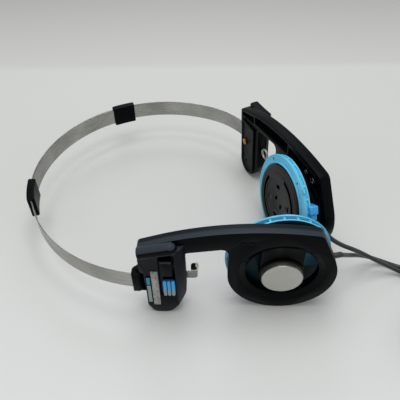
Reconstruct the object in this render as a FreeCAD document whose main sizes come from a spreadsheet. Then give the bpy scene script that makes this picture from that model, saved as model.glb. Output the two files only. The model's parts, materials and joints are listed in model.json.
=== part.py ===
import FreeCAD, Part
import math
import os
import Sketcher

# Folding on-ear headphones on a steel strip band, without their foam pads.
# The set lies on one long edge. Millimetres, +Z up, +X from the crown of the
# band towards the ear cups, origin under the middle of the set.
# The near arm is at -Y. An arm has a frame of its own: X along the arm from
# its hinge to the ear end, Y inwards from its outer face, Z up.

Vector = FreeCAD.Vector
Rotation = FreeCAD.Rotation
Placement = FreeCAD.Placement

document = FreeCAD.newDocument("headphones")
sheet = document.addObject("Spreadsheet::Sheet", "sizes")

driving_sizes = [
    # where the arms and cups stand
    ("arm_angle", 32.4),
    ("far_arm_lean", 2.8),
    ("near_cup_turn", 7.0),
    ("near_cup_tip", -3.0),
    ("near_cup_spin", 16.0),
    ("far_cup_turn", 5.6),
    ("far_cup_tip", 8.0),
    ("far_cup_set_out", 2.95),
    # arm shell
    ("arm_depth", 5.4),
    ("arm_wall", 1.6),
    ("arm_face", 1.5),
    ("arm_left", 62.4),
    ("shoulder_left", 64.5),
    ("shoulder_height", 29.6),
    ("spine_left_height", 42.5),
    ("spine_peak_x", 25.0),
    ("spine_peak_height", 56.8),
    ("spine_reach", 33.8),
    ("spine_right_x", 14.6),
    ("spine_right_height", 51.7),
    ("spine_corner", 4.0),
    ("rib_left", 48.0),
    ("bar_channel_left_height", 46.3),
    ("bar_channel_peak_x", 31.33),
    ("bar_channel_peak_height", 51.15),
    ("bar_channel_reach", 16.3),
    ("bar_left_height", 39.6),
    ("bar_right_height", 42.8),
    ("ring_radius", 24.6),
    ("ring_dish_radius", 20.7),
    ("ring_bore_radius", 16.6),
    ("ring_dish_depth", 1.7),
    ("ring_rim", 1.6),
    ("cup_axis_height", 25.6),
    ("hub_radius", 10.4),
    ("hub_front", 1.0),
    ("web_left", 10.0),
    ("web_right", 9.0),
    ("web_front", 1.9),
    ("badge_radius", 9.4),
    ("badge_proud", 2.0),
    ("badge_height", 24.4),
    ("badge_edge", 0.7),
    ("large_boss_x", 9.0),
    ("large_boss_radius", 2.3),
    ("large_boss_lift", 3.2),
    ("small_boss_x", 3.2),
    ("small_boss_radius", 1.5),
    ("small_boss_lift", 4.4),
    ("dimple_radius", 1.1),
    ("dimple_pitch", 3.5),
    # temple lobe of the arm
    ("lobe_right", 43.4),
    ("lobe_foot_left", 58.5),
    ("lobe_foot_right", 51.0),
    ("lobe_left_rise", 5.5),
    ("lobe_right_rise", 11.0),
    ("cover_depth", 3.9),
    ("cover_left", 61.7),
    ("cover_slant", 3.7),
    ("cover_top", 45.5),
    ("roll_radius", 2.9),
    ("roll_left", 63.3),
    ("roll_start_height", 42.4),
    ("roll_angle", 13.5),
    ("roll_length", 14.2),
    ("roll_sunk", 2.5),
    ("channel_left", 55.1),
    ("channel_right", 47.9),
    ("channel_low", 14.1),
    ("channel_high", 42.6),
    ("channel_depth", 2.3),
    ("lip_room", 0.7),
    ("slider_width", 5.3),
    ("slider_low", 14.6),
    ("slider_high", 39.6),
    ("slider_thickness", 1.5),
    ("slider_play", 0.3),
    ("grip_width", 6.2),
    ("grip_low", 14.7),
    ("grip_high", 25.7),
    ("grip_thickness", 1.3),
    ("grip_rib_width", 1.1),
    ("grip_rib_height", 0.6),
    ("strip_plate_left", 58.8),
    ("strip_plate_right", 55.6),
    ("strip_plate_low", 6.3),
    ("strip_plate_high", 32.0),
    ("side_plate_left", 61.3),
    ("side_plate_right", 59.1),
    ("side_plate_low", 8.0),
    ("side_plate_high", 28.0),
    ("plate_thickness", 0.3),
    ("temple_plate_left", 62.0),
    ("temple_plate_right", 47.4),
    ("temple_plate_low", 0.8),
    ("temple_plate_high", 37.2),
    ("temple_plate_thickness", 1.1),
    ("rivet_radius", 2.0),
    ("rivet_x", 58.0),
    ("rivet_height", 22.5),
    # hinge of the arm
    ("pin_x", 64.6),
    ("pin_y", 1.4),
    ("pin_radius", 0.8),
    ("pin_clearance", 0.05),
    ("knuckle_radius", 1.8),
    ("knuckle_low", 12.2),
    ("knuckle_high", 27.9),
    ("lug_thickness", 1.2),
    ("lug_gap", 0.3),
    ("hinge_play", 0.2),
    ("block_left", 68.2),
    ("block_front", 1.9),
    ("block_back", 1.6),
    ("strip_seat_reach", 66.08),
    ("strip_seat_front", 0.615),
    ("strip_seat_play", 0.36),
    # latch
    ("tongue_seat", 2.4),
    ("tongue_root", 47.0),
    ("tongue_end", 38.2),
    ("tongue_low", 18.8),
    ("tongue_high", 23.8),
    ("hook_width", 1.6),
    ("hook_top", 27.0),
    ("tongue_clearance", 0.2),
    ("cap_width", 3.0),
    ("cap_height", 4.0),
    ("cap_thickness", 2.1),
    ("latch_ring_x", 39.4),
    ("latch_ring_height", 25.0),
    ("latch_ring_depth", 3.0),
    ("latch_ring_radius", 3.0),
    ("latch_wire", 0.55),
    # band
    ("band_x", -19.5),
    ("band_radius", 70.0),
    ("band_height", 20.7),
    ("strip_width", 10.0),
    ("strip_thickness", 0.5),
    ("strip_gap", 0.1),
    ("near_strip_start", -61.8),
    ("near_strip_end", -217.2),
    ("far_strip_bend", 97.0),
    ("far_strip_end", 231.6),
    ("far_bend_radius", 47.53),
    ("far_bend_end", 60.54),
    ("near_clip_low_angle", 141.4),
    ("near_clip_high_angle", 152.9),
    ("far_clip_low_angle", 218.7),
    ("far_clip_high_angle", 232.6),
    ("clip_height", 12.4),
    ("clip_depth", 4.0),
    ("clip_clearance", 0.08),
    # ear cup, measured from the middle of its ball
    ("flange_front", 7.45),
    ("flange_thickness", 1.1),
    ("flange_radius", 25.0),
    ("groove_width", 1.5),
    ("groove_radius", 22.7),
    ("back_flange_thickness", 0.8),
    ("back_flange_radius", 24.5),
    ("rib_count", 24),
    ("rib_width", 1.0),
    ("cup_back", 3.2),
    ("cup_back_radius", 12.0),
    ("cup_wall", 1.2),
    ("driver_seat_radius", 20.2),
    ("driver_plate_radius", 19.9),
    ("driver_plate_proud", 1.7),
    ("driver_plate_thickness", 1.5),
    ("driver_skirt", 1.3),
    ("slot_radius", 14.8),
    ("slot_width", 1.7),
    ("slot_half_angle", 32.0),
    ("short_slot_radius", 10.6),
    ("short_slot_half_angle", 11.0),
    ("plate_step_radius", 13.4),
    ("plate_middle_radius", 5.2),
    ("plate_step", 0.4),
    ("magnet_radius", 8.0),
    ("magnet_thickness", 1.4),
    ("diaphragm_radius", 17.2),
    ("diaphragm_thickness", 0.4),
    ("basket_thickness", 0.6),
    # ball and socket
    ("ball_radius", 3.6),
    ("ball_clearance", 0.05),
    ("liner_wall", 0.9),
    ("socket_radius", 5.6),
    ("socket_back", 3.9),
    ("socket_mouth", 2.0),
    ("neck_radius", 1.9),
    ("stud_flange_radius", 4.5),
    ("stud_flange_thickness", 0.8),
    # lead gland on the cup
    ("gland_inner", 9.5),
    ("gland_outer", 24.3),
    ("gland_half_width", 3.6),
    ("gland_angle", 18.0),
    ("gland_thickness", 2.2),
    # leads and plug
    ("lead_diameter", 2.2),
    ("cord_diameter", 2.4),
    ("splitter_length", 16.0),
    ("splitter_width", 8.0),
    ("splitter_height", 4.4),
    ("splitter_x", 118.0),
    ("splitter_y", 28.0),
    ("coil_x", 145.0),
    ("coil_y", 0.0),
    ("coil_outer_radius", 18.4),
    ("coil_turns", 3.0),
    ("coil_layers", 4.0),
    ("coil_gap", 1.0),
    ("coil_layer_gap", 0.65),
    ("tie_thickness", 0.7),
    ("tie_width", 5.0),
    ("plug_radius", 3.4),
    ("plug_relief_radius", 2.3),
    ("plug_relief_length", 7.5),
    ("plug_length", 22.0),
    ("jack_radius", 1.75),
    ("jack_shaft_length", 10.2),
    ("jack_length", 14.0),
]

for row, (alias, number) in enumerate(driving_sizes, start=1):
    sheet.set(f"A{row}", alias)
    sheet.set(f"B{row}", str(number))
    sheet.setAlias(f"B{row}", alias)
document.recompute()


class Size:
    """A cell of the sheet, or a sum of cells: its number and its formula."""

    def __init__(self, number, formula):
        self.number = number
        self.formula = formula

    def __add__(self, other):
        other = as_size(other)
        return Size(self.number + other.number, f"({self.formula} + {other.formula})")

    def __radd__(self, other):
        return as_size(other) + self

    def __sub__(self, other):
        other = as_size(other)
        return Size(self.number - other.number, f"({self.formula} - {other.formula})")

    def __rsub__(self, other):
        return as_size(other) - self

    def __mul__(self, other):
        other = as_size(other)
        return Size(self.number * other.number, f"({self.formula} * {other.formula})")

    def __rmul__(self, other):
        return as_size(other) * self

    def __truediv__(self, other):
        other = as_size(other)
        return Size(self.number / other.number, f"({self.formula} / {other.formula})")

    def __neg__(self):
        return Size(-self.number, f"(0 - {self.formula})")


def as_size(value):
    if isinstance(value, Size):
        return value
    return Size(float(value), f"({float(value)!r})")


def cosine(angle):
    angle = as_size(angle)
    return Size(math.cos(math.radians(angle.number)), f"cos({angle.formula} * 1deg)")


def sine(angle):
    angle = as_size(angle)
    return Size(math.sin(math.radians(angle.number)), f"sin({angle.formula} * 1deg)")


def span(x, y):
    """The length of a slanted side."""
    number = math.hypot(x.number, y.number)
    return Size(number, f"sqrt({x.formula} * {x.formula} + {y.formula} * {y.formula})")


def radius_for(before, corner, after, reach):
    """The radius of the arc that leaves both sides of a corner at a reach from it."""
    x1, y1 = corner[0] - before[0], corner[1] - before[1]
    x2, y2 = after[0] - corner[0], after[1] - corner[1]
    across = y1 * x2 - x1 * y2
    along = x1 * x2 + y1 * y2
    return reach * (span(x1, y1) * span(x2, y2) + along) / across


class Sizes:
    """Reads a cell of the sheet by its alias."""

    def __getattr__(self, alias):
        return Size(float(sheet.get(alias)), f"sizes.{alias}")


size = Sizes()


# Sketch tools

def origin_plane(body, role):
    return [feature for feature in body.Origin.OriginFeatures if feature.Role == role][0]


def new_body(name, placement):
    body = document.addObject("PartDesign::Body", name)
    body.Label = name
    body.Placement = placement
    return body


def sketch_on(body, name, role, offset=None):
    sketch = body.newObject("Sketcher::SketchObject", name)
    sketch.AttachmentSupport = [(origin_plane(body, role), "")]
    sketch.MapMode = "FlatFace"
    if offset is not None:
        sketch.setExpression("AttachmentOffset.Base.z", as_size(offset).formula)
    return sketch


def add_constraints(sketch, entries):
    """Entries are constraint arguments; a Size as the last one is bound to its formula."""
    constraints = []
    for entry in entries:
        numbers = [item.number if isinstance(item, Size) else item for item in entry]
        constraints.append(Sketcher.Constraint(*numbers))
    first = sketch.ConstraintCount
    sketch.addConstraint(constraints)
    for index, entry in enumerate(entries):
        if isinstance(entry[-1], Size):
            sketch.setExpression(f"Constraints[{first + index}]", entry[-1].formula)


def draw_outline(sketch, corners):
    """A closed outline of straight sides; a third value rounds that corner."""
    count = len(corners)
    points = [Vector(as_size(c[0]).number, as_size(c[1]).number, 0) for c in corners]
    leave = []
    arrive = []
    arcs = []
    for i in range(count):
        before = points[i] - points[i - 1]
        after = points[(i + 1) % count] - points[i]
        before.normalize()
        after.normalize()
        if len(corners[i]) < 3:
            arrive.append(points[i])
            leave.append(points[i])
            arcs.append(None)
            continue
        radius = as_size(corners[i][2]).number
        cross = before.x * after.y - before.y * after.x
        turn = math.atan2(cross, before.dot(after))
        reach = radius * math.tan(abs(turn) / 2)
        start = points[i] - before * reach
        end = points[i] + after * reach
        side = 1 if turn > 0 else -1
        centre = start + Vector(-before.y, before.x, 0) * radius * side
        first, last = (start, end) if turn > 0 else (end, start)
        angles = [math.atan2(p.y - centre.y, p.x - centre.x) for p in (first, last)]
        circle = Part.Circle(centre, Vector(0, 0, 1), radius)
        arcs.append((Part.ArcOfCircle(circle, angles[0], angles[1]), turn > 0))
        arrive.append(start)
        leave.append(end)
    base = sketch.GeometryCount
    sides = [Part.LineSegment(leave[i], arrive[(i + 1) % count]) for i in range(count)]
    sketch.addGeometry(sides)
    entries = []
    for i in range(count):
        side_before = base + (i - 1) % count
        side_after = base + i
        x, y = as_size(corners[i][0]), as_size(corners[i][1])
        if arcs[i] is None:
            entries.append(("Coincident", side_before, 2, side_after, 1))
            entries.append(("DistanceX", -1, 1, side_after, 1, x))
            entries.append(("DistanceY", -1, 1, side_after, 1, y))
            continue
        arc, to_left = arcs[i]
        arc_index = sketch.addGeometry(arc)
        corner_index = sketch.addGeometry(Part.Point(points[i]), True)
        first, last = (1, 2) if to_left else (2, 1)
        entries.append(("DistanceX", -1, 1, corner_index, 1, x))
        entries.append(("DistanceY", -1, 1, corner_index, 1, y))
        entries.append(("PointOnObject", corner_index, 1, side_before))
        entries.append(("PointOnObject", corner_index, 1, side_after))
        entries.append(("Tangent", side_before, 2, arc_index, first))
        entries.append(("Tangent", arc_index, last, side_after, 1))
        entries.append(("Radius", arc_index, as_size(corners[i][2])))
    add_constraints(sketch, entries)


def draw_circle(sketch, x, y, radius):
    x, y, radius = as_size(x), as_size(y), as_size(radius)
    circle = Part.Circle(Vector(x.number, y.number, 0), Vector(0, 0, 1), radius.number)
    index = sketch.addGeometry(circle)
    add_constraints(sketch, [
        ("DistanceX", -1, 1, index, 3, x),
        ("DistanceY", -1, 1, index, 3, y),
        ("Radius", index, radius),
    ])


def draw_sector(sketch, inner, outer, low_angle, high_angle, x=0, y=0):
    """A piece of a flat ring between two angles, in degrees."""
    x, y, inner, outer = as_size(x), as_size(y), as_size(inner), as_size(outer)
    low_angle, high_angle = as_size(low_angle), as_size(high_angle)
    ends = []
    for radius in (inner, outer):
        for angle in (low_angle, high_angle):
            ends.append((x + radius * cosine(angle), y + radius * sine(angle)))
    spots = [Vector(px.number, py.number, 0) for px, py in ends]
    centre = Vector(x.number, y.number, 0)
    angles = (math.radians(low_angle.number), math.radians(high_angle.number))
    first = sketch.GeometryCount
    for radius in (inner, outer):
        circle = Part.Circle(centre, Vector(0, 0, 1), radius.number)
        sketch.addGeometry(Part.ArcOfCircle(circle, *angles))
    sketch.addGeometry(Part.LineSegment(spots[0], spots[2]))
    sketch.addGeometry(Part.LineSegment(spots[1], spots[3]))
    entries = [
        ("Coincident", first + 2, 1, first, 1),
        ("Coincident", first + 2, 2, first + 1, 1),
        ("Coincident", first + 3, 1, first, 2),
        ("Coincident", first + 3, 2, first + 1, 2),
        ("Radius", first, inner),
        ("Radius", first + 1, outer),
    ]
    for arc, corner in ((0, 0), (1, 2)):
        for end in (0, 1):
            px, py = ends[corner + end]
            entries.append(("DistanceX", -1, 1, first + arc, end + 1, px))
            entries.append(("DistanceY", -1, 1, first + arc, end + 1, py))
    add_constraints(sketch, entries)


# Feature tools

def volume_of(body):
    document.recompute()
    if body.Shape.isNull():
        return 0.0
    return body.Shape.Volume


def finish_feature(body, feature, before, grows):
    body.Tip = feature
    after = volume_of(body)
    if after == 0.0:
        raise ValueError(f"{body.Label}: {feature.Label} left nothing")
    if (after > before) != grows or abs(after - before) < 1e-6:
        raise ValueError(f"{body.Label}: {feature.Label} changed nothing: {before} to {after}")
    return feature


def pad(body, sketch, length, inwards=True):
    """Inwards is towards +Y on an XZ sketch; on an XY sketch the pad goes up."""
    before = volume_of(body)
    feature = body.newObject("PartDesign::Pad", f"{sketch.Label}_pad")
    feature.Profile = sketch
    feature.setExpression("Length", as_size(length).formula)
    feature.Reversed = inwards
    sketch.Visibility = False
    return finish_feature(body, feature, before, True)


def pocket(body, sketch, depth, inwards=True):
    """Inwards cuts towards +Y on an XZ sketch."""
    before = volume_of(body)
    feature = body.newObject("PartDesign::Pocket", f"{sketch.Label}_cut")
    feature.Profile = sketch
    feature.setExpression("Length", as_size(depth).formula)
    feature.Reversed = not inwards
    return finish_feature(body, feature, before, False)


def revolve(body, sketch, axis="V_Axis"):
    before = volume_of(body)
    feature = body.newObject("PartDesign::Revolution", f"{sketch.Label}_turned")
    feature.Profile = sketch
    feature.ReferenceAxis = (sketch, [axis])
    feature.Angle = 360
    return finish_feature(body, feature, before, True)


def groove(body, sketch, axis="V_Axis"):
    before = volume_of(body)
    feature = body.newObject("PartDesign::Groove", f"{sketch.Label}_turned")
    feature.Profile = sketch
    feature.ReferenceAxis = (sketch, [axis])
    feature.Angle = 360
    return finish_feature(body, feature, before, False)


def pattern_round(body, feature, sketch, count, grows):
    before = volume_of(body)
    pattern = body.newObject("PartDesign::PolarPattern", f"{feature.Label}_round")
    pattern.Originals = [feature]
    pattern.Axis = (sketch, ["N_Axis"])
    pattern.Angle = 360
    pattern.setExpression("Occurrences", as_size(count).formula)
    return finish_feature(body, pattern, before, grows)


def edges_where(shape, test):
    return [f"Edge{i}" for i, edge in enumerate(shape.Edges, start=1) if test(edge)]


def round_edges(body, radius, test):
    document.recompute()
    base = body.Tip
    names = edges_where(base.Shape, test)
    if not names:
        raise ValueError(f"{body.Label}: no edge to round")
    feature = body.newObject("PartDesign::Fillet", f"{base.Label}_round")
    feature.Base = (base, names)
    feature.setExpression("Radius", as_size(radius).formula)
    body.Tip = feature
    document.recompute()
    return feature


# Frames

upright = Rotation()
about_x = Vector(1, 0, 0)
about_y = Vector(0, 1, 0)
about_z = Vector(0, 0, 1)


def frame(x, y, z, rotation=upright):
    return Placement(Vector(x, y, z), rotation)


def mirrored(placement):
    """The placement seen in a mirror across the XZ plane."""
    base = placement.Base
    axis = placement.Rotation.Axis
    angle = math.degrees(placement.Rotation.Angle)
    turned = Rotation(Vector(-axis.x, axis.y, -axis.z), angle)
    return Placement(Vector(base.x, -base.y, base.z), turned)


near_strip_radius = size.band_radius - (size.strip_thickness + size.strip_gap) / 2
far_strip_radius = size.band_radius + (size.strip_thickness + size.strip_gap) / 2
far_bend_x = (far_strip_radius - size.far_bend_radius) * cosine(size.far_strip_bend)
far_bend_y = (far_strip_radius - size.far_bend_radius) * sine(size.far_strip_bend)


def strip_end(x, y, radius, angle):
    """The middle of a strip's end, which sits in an arm's hinge block."""
    end_x = size.band_x + x + radius * cosine(angle)
    end_y = y + radius * sine(angle)
    return Vector(end_x.number, end_y.number, size.band_height.number)


def arm_at(end, rotation, seat_side, lift):
    """The arm whose hinge block takes a strip's end, that much above the floor."""
    lean = rotation.multVec(about_z)
    seat = Vector(-size.strip_seat_reach.number, seat_side * size.strip_seat_front.number, 0)
    turned = rotation.multVec(seat)
    seat_height = (end.z - lift - turned.z) / lean.z
    base = end - turned - lean * seat_height
    return Placement(base, rotation)


near_end = strip_end(0, 0, near_strip_radius, size.near_strip_start)
far_end = strip_end(far_bend_x, far_bend_y, size.far_bend_radius, size.far_bend_end)
near_rotation = Rotation(about_z, size.arm_angle.number)
far_upright = Rotation(about_z, -size.arm_angle.number)
far_rotation = far_upright * Rotation(about_x, size.far_arm_lean.number)
far_lift = size.arm_depth * sine(size.far_arm_lean)
near_arm = arm_at(near_end, near_rotation, -1, 0)
far_arm = arm_at(far_end, far_rotation, 1, far_lift.number)
ball_at = (0, size.arm_depth.number, size.cup_axis_height.number)
near_seat = near_arm * frame(*ball_at)
far_ball_at = (0, size.arm_depth.number + size.far_cup_set_out.number, size.cup_axis_height.number)
far_seat = far_arm * mirrored(frame(*far_ball_at))


def tilt(turn, tip, spin=0):
    turned = Rotation(about_z, turn.number)
    tipped = Rotation(about_x, tip.number)
    spun = Rotation(about_y, as_size(spin).number)
    return frame(0, 0, 0, turned * tipped * spun)


def turn_only(turn):
    return frame(0, 0, 0, Rotation(about_z, turn.number))


near_liner = near_seat * turn_only(size.near_cup_turn)
far_liner = far_seat * mirrored(turn_only(size.far_cup_turn))
near_cup = near_seat * tilt(size.near_cup_turn, size.near_cup_tip, size.near_cup_spin)
far_cup = far_seat * mirrored(tilt(size.far_cup_turn, size.far_cup_tip))

parts = []


def mirror_to(source, name, place):
    """The far side's own copy of a near piece, its mirror image in its own place."""
    document.recompute()
    copy = document.addObject("Part::Mirroring", name)
    copy.Label = name
    copy.Source = source
    copy.Normal = Vector(0, 1, 0)
    copy.Base = Vector(0, 0, 0)
    copy.Placement = place * mirrored(source.Placement).inverse()
    parts.append(copy)
    return copy


def both_sides(body, near_place, far_place):
    """Keeps a near piece and gives the far side its mirror image."""
    parts.append(body)
    return mirror_to(body, body.Label.replace("near_", "far_"), far_place)


# Arm shell: a one-piece moulding, open towards the head

def lobe_back(right, left, shoulder):
    """The lobe from its ear side round its foot and up its back to the shoulder."""
    return [
        (-right, size.lobe_right_rise, 8.0),
        (-size.lobe_foot_right, 0, 6.0),
        (-size.lobe_foot_left, 0, 3.0),
        (-left, size.lobe_left_rise, 4.0),
        (-left, size.shoulder_height, 0.8),
        (-shoulder, size.shoulder_height + (shoulder - left) * 0.9, 0.8),
    ]


def make_arm_shell():
    body = new_body("near_arm_shell", near_arm)
    outline = sketch_on(body, "arm_outline", "XZ_Plane")
    tangent_angle = 23.5
    ring_side_x = size.ring_radius * cosine(tangent_angle)
    ring_side_z = size.ring_radius + size.ring_radius * sine(tangent_angle)
    spine_left = (-size.shoulder_left, size.spine_left_height)
    spine_peak = (-size.spine_peak_x, size.spine_peak_height)
    spine_right = (size.spine_right_x, size.spine_right_height)
    spine_radius = radius_for(spine_left, spine_peak, spine_right, size.spine_reach)
    corners = [
        spine_left + (2.5,),
        spine_peak + (spine_radius,),
        spine_right + (size.spine_corner,),
        (ring_side_x, ring_side_z),
        (0, size.ring_radius),
        (-size.ring_radius, size.ring_radius),
        (-size.ring_radius, size.bar_right_height, 3.0),
        (-(size.lobe_right + 0.4), size.bar_left_height, 2.0),
    ]
    draw_outline(outline, corners + lobe_back(size.lobe_right, size.arm_left, size.shoulder_left))
    pad(body, outline, size.arm_depth)

    ring = sketch_on(body, "ring_outline", "XZ_Plane")
    draw_circle(ring, 0, size.ring_radius, size.ring_radius)
    pad(body, ring, size.arm_depth)

    # the dish in front and the way through, turned about the cup's axis
    bore = sketch_on(body, "ring_bore", "XY_Plane", size.cup_axis_height)
    draw_outline(bore, [
        (0, -0.5),
        (size.ring_dish_radius - 1.0 + 0.4, -0.5),
        (size.ring_dish_radius - 1.0, 0.4),
        (size.ring_bore_radius, size.ring_dish_depth),
        (size.ring_bore_radius, size.arm_depth + 0.5),
        (0, size.arm_depth + 0.5),
    ])
    groove(body, bore)

    # the hub that carries the ball socket, hung from the top by a web
    web = sketch_on(body, "web", "XZ_Plane", -size.web_front)
    web_top = size.cup_axis_height + size.ring_bore_radius + 0.6
    draw_outline(web, [
        (-size.web_left, web_top),
        (-size.web_left, size.badge_height),
        (size.web_right, size.badge_height),
        (size.web_right, web_top),
    ])
    pad(body, web, size.arm_depth - size.web_front)
    hub = sketch_on(body, "hub", "XZ_Plane", -size.hub_front)
    draw_circle(hub, 0, size.badge_height, size.hub_radius)
    pad(body, hub, size.arm_depth - size.hub_front)
    seat = sketch_on(body, "socket_seat", "XZ_Plane", -size.arm_depth)
    draw_circle(seat, 0, size.cup_axis_height, size.socket_radius + size.pin_clearance)
    pocket(body, seat, size.socket_back + 0.1, inwards=False)

    # channels that leave a face and a rim, with ribs left between them
    wall = size.arm_wall
    channel_depth = size.arm_depth - size.arm_face
    bar = sketch_on(body, "bar_channel", "XZ_Plane", -size.arm_depth)
    bar_left = (-size.rib_left, size.bar_channel_left_height)
    bar_peak = (-size.bar_channel_peak_x, size.bar_channel_peak_height)
    bar_right = (-size.web_left - 4, size.spine_right_height)
    bar_radius = radius_for(bar_left, bar_peak, bar_right, size.bar_channel_reach)
    draw_outline(bar, [
        (-size.rib_left, size.bar_left_height + 2.2),
        bar_left + (0.8,),
        bar_peak + (bar_radius,),
        bar_right,
        (-size.web_left - 4, size.bar_right_height + 2.4, 1.5),
        (-size.ring_radius, size.bar_right_height + wall),
    ])
    pocket(body, bar, channel_depth, inwards=False)
    head = sketch_on(body, "head_channel", "XZ_Plane", -size.arm_depth)
    draw_outline(head, [
        (-size.web_left - 2.6, size.spine_right_height - 1.0, 1.0),
        (size.spine_right_x - 2.6, size.spine_right_height - 2.4, 2.4),
        (size.spine_right_x + 2.0, size.spine_right_height - 12.4, 1.0),
        (size.web_right + 2.4, size.cup_axis_height + size.ring_bore_radius - 0.6, 1.0),
        (0, size.cup_axis_height + size.ring_bore_radius + wall + 0.2),
        (-size.web_left - 2.6, size.cup_axis_height + size.ring_bore_radius + wall - 2.4, 1.0),
    ])
    pocket(body, head, channel_depth, inwards=False)
    lobe = sketch_on(body, "lobe_channel", "XZ_Plane", -size.arm_depth)
    draw_outline(lobe, [
        (-(size.shoulder_left - wall), size.temple_plate_high + wall),
        (-(size.shoulder_left - wall), size.spine_left_height - wall + 0.2, 1.5),
        (-(size.rib_left + 1.4), size.bar_channel_left_height - 1.0),
        (-(size.rib_left + 1.4), size.bar_left_height + 1.2, 1.0),
    ])
    pocket(body, lobe, channel_depth, inwards=False)

    # ring channel round the lower half
    gutter = sketch_on(body, "ring_channel", "XZ_Plane", -size.arm_depth)
    draw_sector(gutter, size.ring_bore_radius + 2.2, size.ring_radius - size.ring_rim,
                192, 348, 0, size.ring_radius)
    pocket(body, gutter, size.arm_depth - size.ring_dish_depth - size.arm_face, inwards=False)

    # screw bosses in the head
    boss = sketch_on(body, "screw_bosses", "XZ_Plane", -size.arm_face)
    bore_top = size.cup_axis_height + size.ring_bore_radius
    draw_circle(boss, size.large_boss_x, bore_top + size.large_boss_lift, size.large_boss_radius)
    draw_circle(boss, size.small_boss_x, bore_top + size.small_boss_lift, size.small_boss_radius)
    pad(body, boss, channel_depth - 0.8)

    # two small dimples in the face
    dimples = sketch_on(body, "dimples", "XZ_Plane")
    for step in (0, 1):
        x = -(size.web_left + 5.0 + size.dimple_pitch * step)
        draw_circle(dimples, x, size.bar_right_height + 4.2, size.dimple_radius)
    pocket(body, dimples, 0.5)

    # lugs that hold the hinge pin, above and below the band's block
    for low in (size.knuckle_low, size.knuckle_high - size.lug_thickness):
        lug = sketch_on(body, "lug", "XY_Plane", low)
        draw_outline(lug, [
            (-(size.cover_left + 0.1), size.pin_y - size.knuckle_radius),
            (-(size.cover_left + 0.1), 0),
            (-(size.arm_left - 1.0), 0),
            (-(size.arm_left - 1.0), size.pin_y + size.knuckle_radius),
            (-(size.pin_x + size.knuckle_radius), size.pin_y + size.knuckle_radius,
             size.knuckle_radius * 0.98),
            (-(size.pin_x + size.knuckle_radius), size.pin_y - size.knuckle_radius,
             size.knuckle_radius * 0.98),
        ])
        pad(body, lug, size.lug_thickness, inwards=False)
    hole = sketch_on(body, "pin_holes", "XY_Plane", size.knuckle_high + 0.5)
    draw_circle(hole, -size.pin_x, size.pin_y, size.pin_radius)
    pocket(body, hole, size.knuckle_high - size.knuckle_low + 1.0)

    # where the latch tongue goes through the lobe's ear side
    play = size.tongue_clearance
    slot = sketch_on(body, "tongue_slot", "XZ_Plane", -(size.tongue_seat - play))
    draw_outline(slot, [
        (-(size.tongue_root + play), size.tongue_low - play),
        (-(size.lobe_right - 1.4), size.tongue_low - play),
        (-(size.lobe_right - 1.4), size.tongue_high + play),
        (-(size.tongue_root + play), size.tongue_high + play),
    ])
    pocket(body, slot, size.strip_thickness + play * 2.5)
    return body


def make_temple_cover():
    body = new_body("near_temple_cover", near_arm)
    outline = sketch_on(body, "cover_outline", "XZ_Plane", size.cover_depth)
    shoulder = size.shoulder_left - (size.arm_left - size.cover_left)
    corners = [
        (-shoulder, size.cover_top - 4.4, 1.5),
        (-size.lobe_right, size.cover_top - 0.2, 1.0),
    ]
    draw_outline(outline, corners + lobe_back(size.lobe_right, size.cover_left, shoulder))
    pad(body, outline, size.cover_depth)

    # the side towards the ear slants back
    slant = sketch_on(body, "ear_side_slant", "XY_Plane", size.cover_top + 1.0)
    draw_outline(slant, [
        (-size.lobe_right, 0),
        (-(size.lobe_right + size.cover_slant), -size.cover_depth),
        (-(size.lobe_right + size.cover_slant), -(size.cover_depth + 1.0)),
        (-(size.lobe_right - 1.0), -(size.cover_depth + 1.0)),
        (-(size.lobe_right - 1.0), 0),
    ])
    pocket(body, slant, size.cover_top + 2.0)

    # the roll along the top of the lobe
    roll = body.newObject("PartDesign::AdditiveCylinder", "roll")
    roll.setExpression("Radius", size.roll_radius.formula)
    roll.setExpression("Height", size.roll_length.formula)
    along = Rotation(Vector(0, 1, 0), 90.0 - size.roll_angle.number)
    start = Vector(-size.roll_left.number, -size.roll_sunk.number, size.roll_start_height.number)
    roll.Placement = Placement(start, along)
    body.Tip = roll
    document.recompute()
    far_end = start + along.multVec(Vector(0, 0, size.roll_length.number))
    knob = body.newObject("PartDesign::AdditiveSphere", "roll_end")
    knob.setExpression("Radius", size.roll_radius.formula)
    knob.Placement = Placement(far_end, upright)
    body.Tip = knob
    document.recompute()
    # the roll's back is cut off where the arm shell's face begins
    behind = sketch_on(body, "roll_back", "XZ_Plane")
    low = size.roll_start_height - size.roll_radius * 2
    high = size.roll_start_height + size.roll_length
    left = size.roll_left + size.roll_radius
    right = size.roll_left - size.roll_length - size.roll_radius * 2
    draw_outline(behind, [(-left, low), (-right, low), (-right, high), (-left, high)])
    pocket(body, behind, size.roll_radius * 2)

    # the channel of the slider, which runs on under the roll
    front = size.cover_depth + size.lip_room
    channel = sketch_on(body, "slider_channel", "XZ_Plane", front)
    draw_outline(channel, [
        (-size.channel_left, size.channel_low, 0.8),
        (-size.channel_right, size.channel_low, 0.8),
        (-size.channel_right, size.channel_high, 0.8),
        (-size.channel_left, size.channel_high, 0.8),
    ])
    pocket(body, channel, size.channel_depth + size.lip_room)
    return body


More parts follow.
